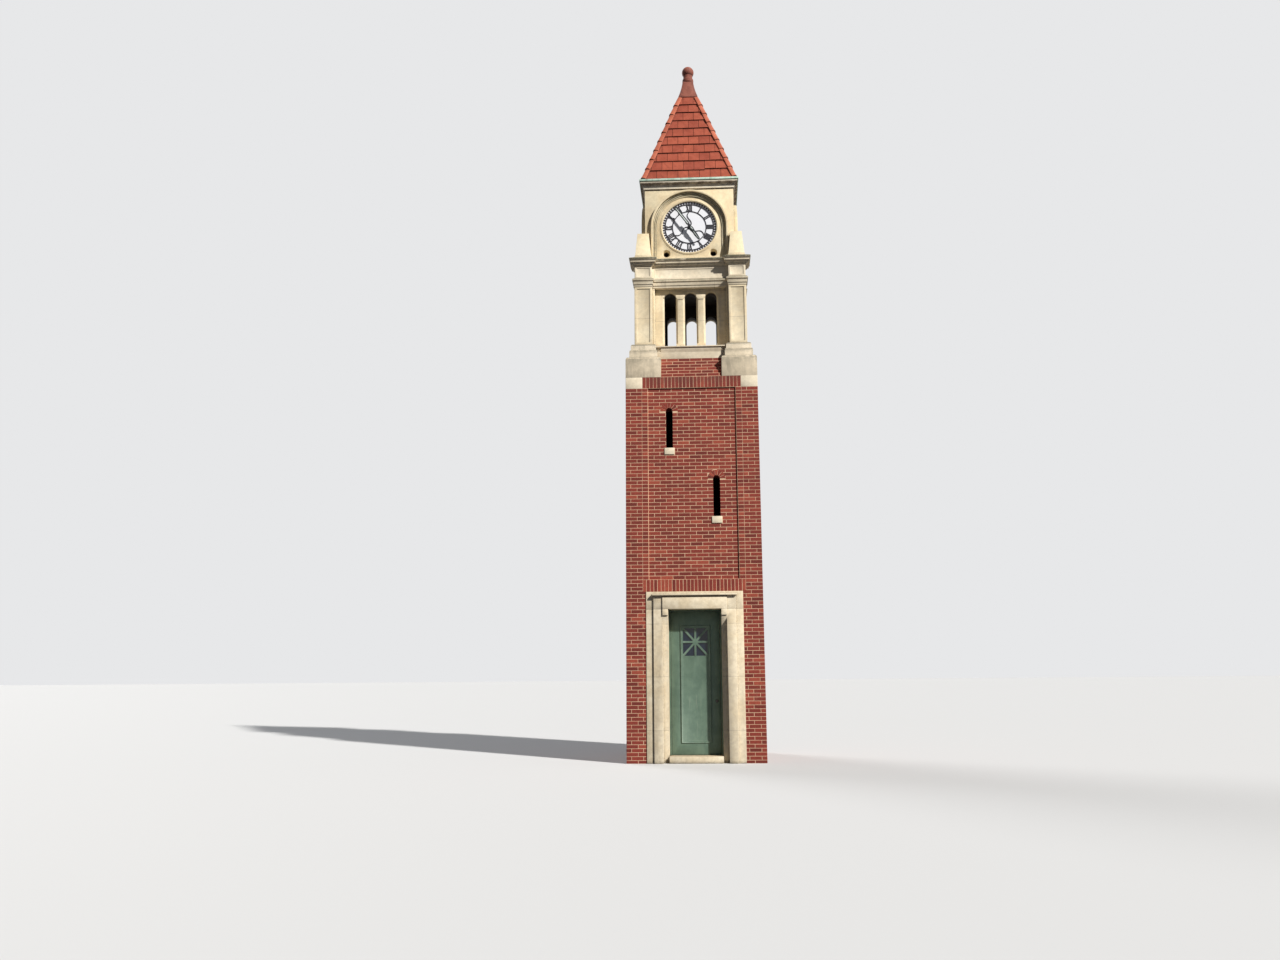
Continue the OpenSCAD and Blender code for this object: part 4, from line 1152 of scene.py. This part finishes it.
def build_dials():
    """Rings, minute teeth, roman numbers and curved bars before the glass."""
    heap = Heap()
    (near, far), (near_half, far_half) = TEETH, TOOTH_HALVES
    tooth = [(-near_half, near), (near_half, near), (far_half, far), (-far_half, far)]
    reach = CHAPTER_RING[0] + RAIL_LAP
    scroll = [(SCROLL_BOW*math.sin(2*math.pi*i/SCROLL_STEPS), reach*i/SCROLL_STEPS)
              for i in range(SCROLL_STEPS + 1)]
    for heap.quarter in SIDES.values():
        for inner, outer in (MINUTE_RING, CHAPTER_RING):
            dial_band(heap, round_line((inner + outer)/2, RING_STEPS), (outer - inner)/2, closed=True)
        for minute in range(60):
            dial_plate(heap, tooth, 6*minute, BARS_BACK, BARS_FRONT - BEHIND["teeth"])
        for hour, numeral in enumerate(NUMERALS):
            cut_numeral(heap, 30*hour, numeral)
        for turn in (0, 120, 240):
            dial_band(heap, scroll, SCROLL_HALF, turn)
        for radius, steps, back, front, edge in (
                (BOSS, BOSS_STEPS, BARS_BACK, BARS_FRONT + MARGIN, 0.002),
                (ARBOR, ARBOR_STEPS, BARS_BACK, ARBOR_FRONT, 0.002),
                (NUT, ARBOR_STEPS, ARBOR_FRONT - NUT_GRIP, ARBOR_FRONT + MARGIN, 0.0015)):
            dial_plate(heap, round_line(radius, steps), 0, back, front, edge)
    piece = heap.piece("dial_metalwork", BLACK_METAL, "dial_metal", sharp=CREASE_OVER)
    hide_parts("dial_frames")


# Plates on the hands: name, material, width on each hand, share of the hand's length, length of
# the tail and how proud
HAND_PLATES = [("strip", HAND_PALE, {"minute": 0.014, "hour": 0.007}, 0.90, 0.11, 0.0024),
               ("blade", HAND_METAL, {"minute": 0.056, "hour": 0.066}, 0.985, 0.14, 0.0010)]


def blade(heap, width, reach, turn, front, proud):
    """One arm of a plate, from beside the boss out to its reach."""
    start = math.copysign(BLADE_START, reach)
    near, far = width/2, width*BLADE_END
    outline = [(-near, start), (near, start), (near, reach*BLADE_FULL), (far, reach), (-far, reach),
               (-near, reach*BLADE_FULL)]
    if reach < 0:
        outline = outline[::-1]
    dial_plate(heap, outline, turn, front - MARGIN, front + proud)


def build_hands():
    """Dark hands with a broader plate and a pale middle strip on each."""
    for side, quarter in SIDES.items():
        for hand, (length, turn, front) in HANDS.items():
            body = f"{side}_{hand}_hand"
            dressed(HAND_METAL, "hand_metal", body, worn=0.0008)
            for name, material, widths, share, tail, proud in HAND_PLATES:
                heap = Heap(quarter=quarter)
                for reach in (length*share, -tail):
                    blade(heap, widths[hand], reach, turn, front, proud)
                heap.piece(f"{side}_{hand}_{name}", material, "hand_metal", body)


# Door

def run_door_moulding():
    """A mitred moulding round the field of the door."""
    heap = Heap()
    corners = ((-1, -1), (1, -1), (1, 1), (-1, 1))
    heap.add(*loft([[Vector((x*(FIELD_HALF + away), -LEAF_FRONT - out, FIELD_RISE[z > 0] + z*away))
                     for away, out in DOOR_MOULD] for x, z in corners], loop=True))
    heap.piece("door_mouldings", PAINT, "door_wood", "entrance_door", MOULD_CREASE)


# Studio; the suns are (where from, strength, size, colour)

FOCAL_PIXELS = 1035.7
PICTURE_WIDTH = 1280
PICTURE_MIDDLE = 657.6
CAMERA_PLACE = (0.238, -19.74, 1.594)
CAMERA_TURNS = [(2.714, "Z"), (100.41, "X"), (-0.462, "Z")]
SUNS = {"key": (Vector((1.12, -1.0, 1.08)), 5.1, 2.0, (1.0, 0.98, 0.95)),
        "fill": (Vector((-1.0, 1.1, 0.7)), 1.6, 30.0, (1.0, 1.0, 1.0))}
SURROUND_LIGHT = (0.060, 0.070, 0.092, 1.0)
SURROUND_SEEN = (0.800, 0.805, 0.815, 1.0)
FLOOR_REACH = 150.0
FLOOR_BOUNCE = (62, 65, 72)
FLOOR_SEEN = (210, 210, 209)


def place_camera():
    data = bpy.data.cameras.new("camera")
    data.sensor_width = 36.0
    data.lens = data.sensor_width*FOCAL_PIXELS/PICTURE_WIDTH
    data.shift_x = (PICTURE_WIDTH/2 - PICTURE_MIDDLE)/PICTURE_WIDTH
    data.clip_end = 500
    camera = put_in_scene("camera", data)
    camera.matrix_world = Matrix.Translation(CAMERA_PLACE)
    for angle, axis in CAMERA_TURNS:
        camera.matrix_world @= Matrix.Rotation(math.radians(angle), 4, axis)
    SCENE.camera = camera


def seen_directly(w):
    """One where the camera sees a surface straight or mirrored, and zero for soft light."""
    path = w.node("ShaderNodeLightPath").outputs
    return w.maths("MAXIMUM", path["Is Camera Ray"],
                   w.maths("MAXIMUM", path["Is Glossy Ray"], path["Is Transmission Ray"]))


def light_studio():
    """A key from the upper right, a broad fill from behind and an even pale surround."""
    for name, (source, strength, size, tint) in SUNS.items():
        sun = bpy.data.lights.new(name, "SUN")
        sun.energy = strength
        sun.angle = math.radians(size)
        sun.color = tint
        lamp = put_in_scene(name, sun)
        lamp.rotation_mode = "QUATERNION"
        lamp.rotation_quaternion = (-source).to_track_quat("-Z", "Y")
    world = bpy.data.worlds.new("surround")
    SCENE.world = world
    world.use_nodes = True
    w = Wiring(world.node_tree)
    background = world.node_tree.nodes["Background"].inputs
    w.put(background["Color"], w.blend(seen_directly(w), SURROUND_LIGHT, SURROUND_SEEN))
    w.put(background["Strength"], 1.0)


def lay_studio_floor():
    mesh = bpy.data.meshes.new("studio_floor")
    corners = [(-1, -1), (1, -1), (1, 1), (-1, 1)]
    mesh.from_pydata([(x*FLOOR_REACH, y*FLOOR_REACH, 0) for x, y in corners], [], [(0, 1, 2, 3)])
    w = new_material("studio_floor")
    seen = w.blend(seen_directly(w), FLOOR_BOUNCE, FLOOR_SEEN)
    mesh.materials.append(finish(w, seen, 0.9, Specular_IOR_Level=0.2))
    put_in_scene("studio_floor", mesh)


place_camera()
light_studio()
lay_studio_floor()
build_brickwork()
dressed(STONE_PIER, "stone", "belfry_piers", "front_arcade", "right_arcade", "back_arcade", "left_arcade")
dressed(STONE_PALE, "stone", "corner_stones", "slit_sills", "frieze")
dressed(STONE_CLEAN, "stone", "corner_dies", "clock_wall_front", "clock_wall_right", "clock_wall_back",
        "clock_wall_left", "dial_hoods")
dressed(STONE_PLINTH, "stone", "pier_plinths")
dressed(STONE_BAND, "stone", "belfry_band")
run_mouldings()
dressed(STONE_MOULDING, "stone", "architrave", "main_cornice", worn=0.003)
dressed(STONE_EAVES, "stone", "eaves_cornice", worn=0.003)
dressed(STONE_DOOR, "stone", "door_sill", "door_jamb_left", "door_jamb_right", "door_lintel")
dressed(FLOOR_STONE, "floor", "floor_slab")
# The floors inside take the floor stone's darker copy, as painted shade.
dressed(FLOOR_SHADED, "floor", "belfry_floor", "clock_floor")
build_roof_boards()
lay_tiles()
lay_hips()
dressed(TERRACOTTA, "terracotta", "finial_cap", worn=0.006)
dressed(TERRACOTTA, "terracotta", "finial_ball", worn=0.003)
dressed(COPPER, "copper", "roof_flashing")
glaze("dial_glass", OPAL)
build_dials()
build_hands()
dressed(PAINT, "door_wood", "door_frame", worn=0.003)
dressed(PAINT, "door_wood", "door_leaf", worn=0.0015)
dressed(DOOR_METAL, "door_metal", "door_hinges", "door_knob", worn=0.001)
run_door_moulding()
glaze("door_glass", PANE)

SCENE.view_settings.view_transform = "Standard"
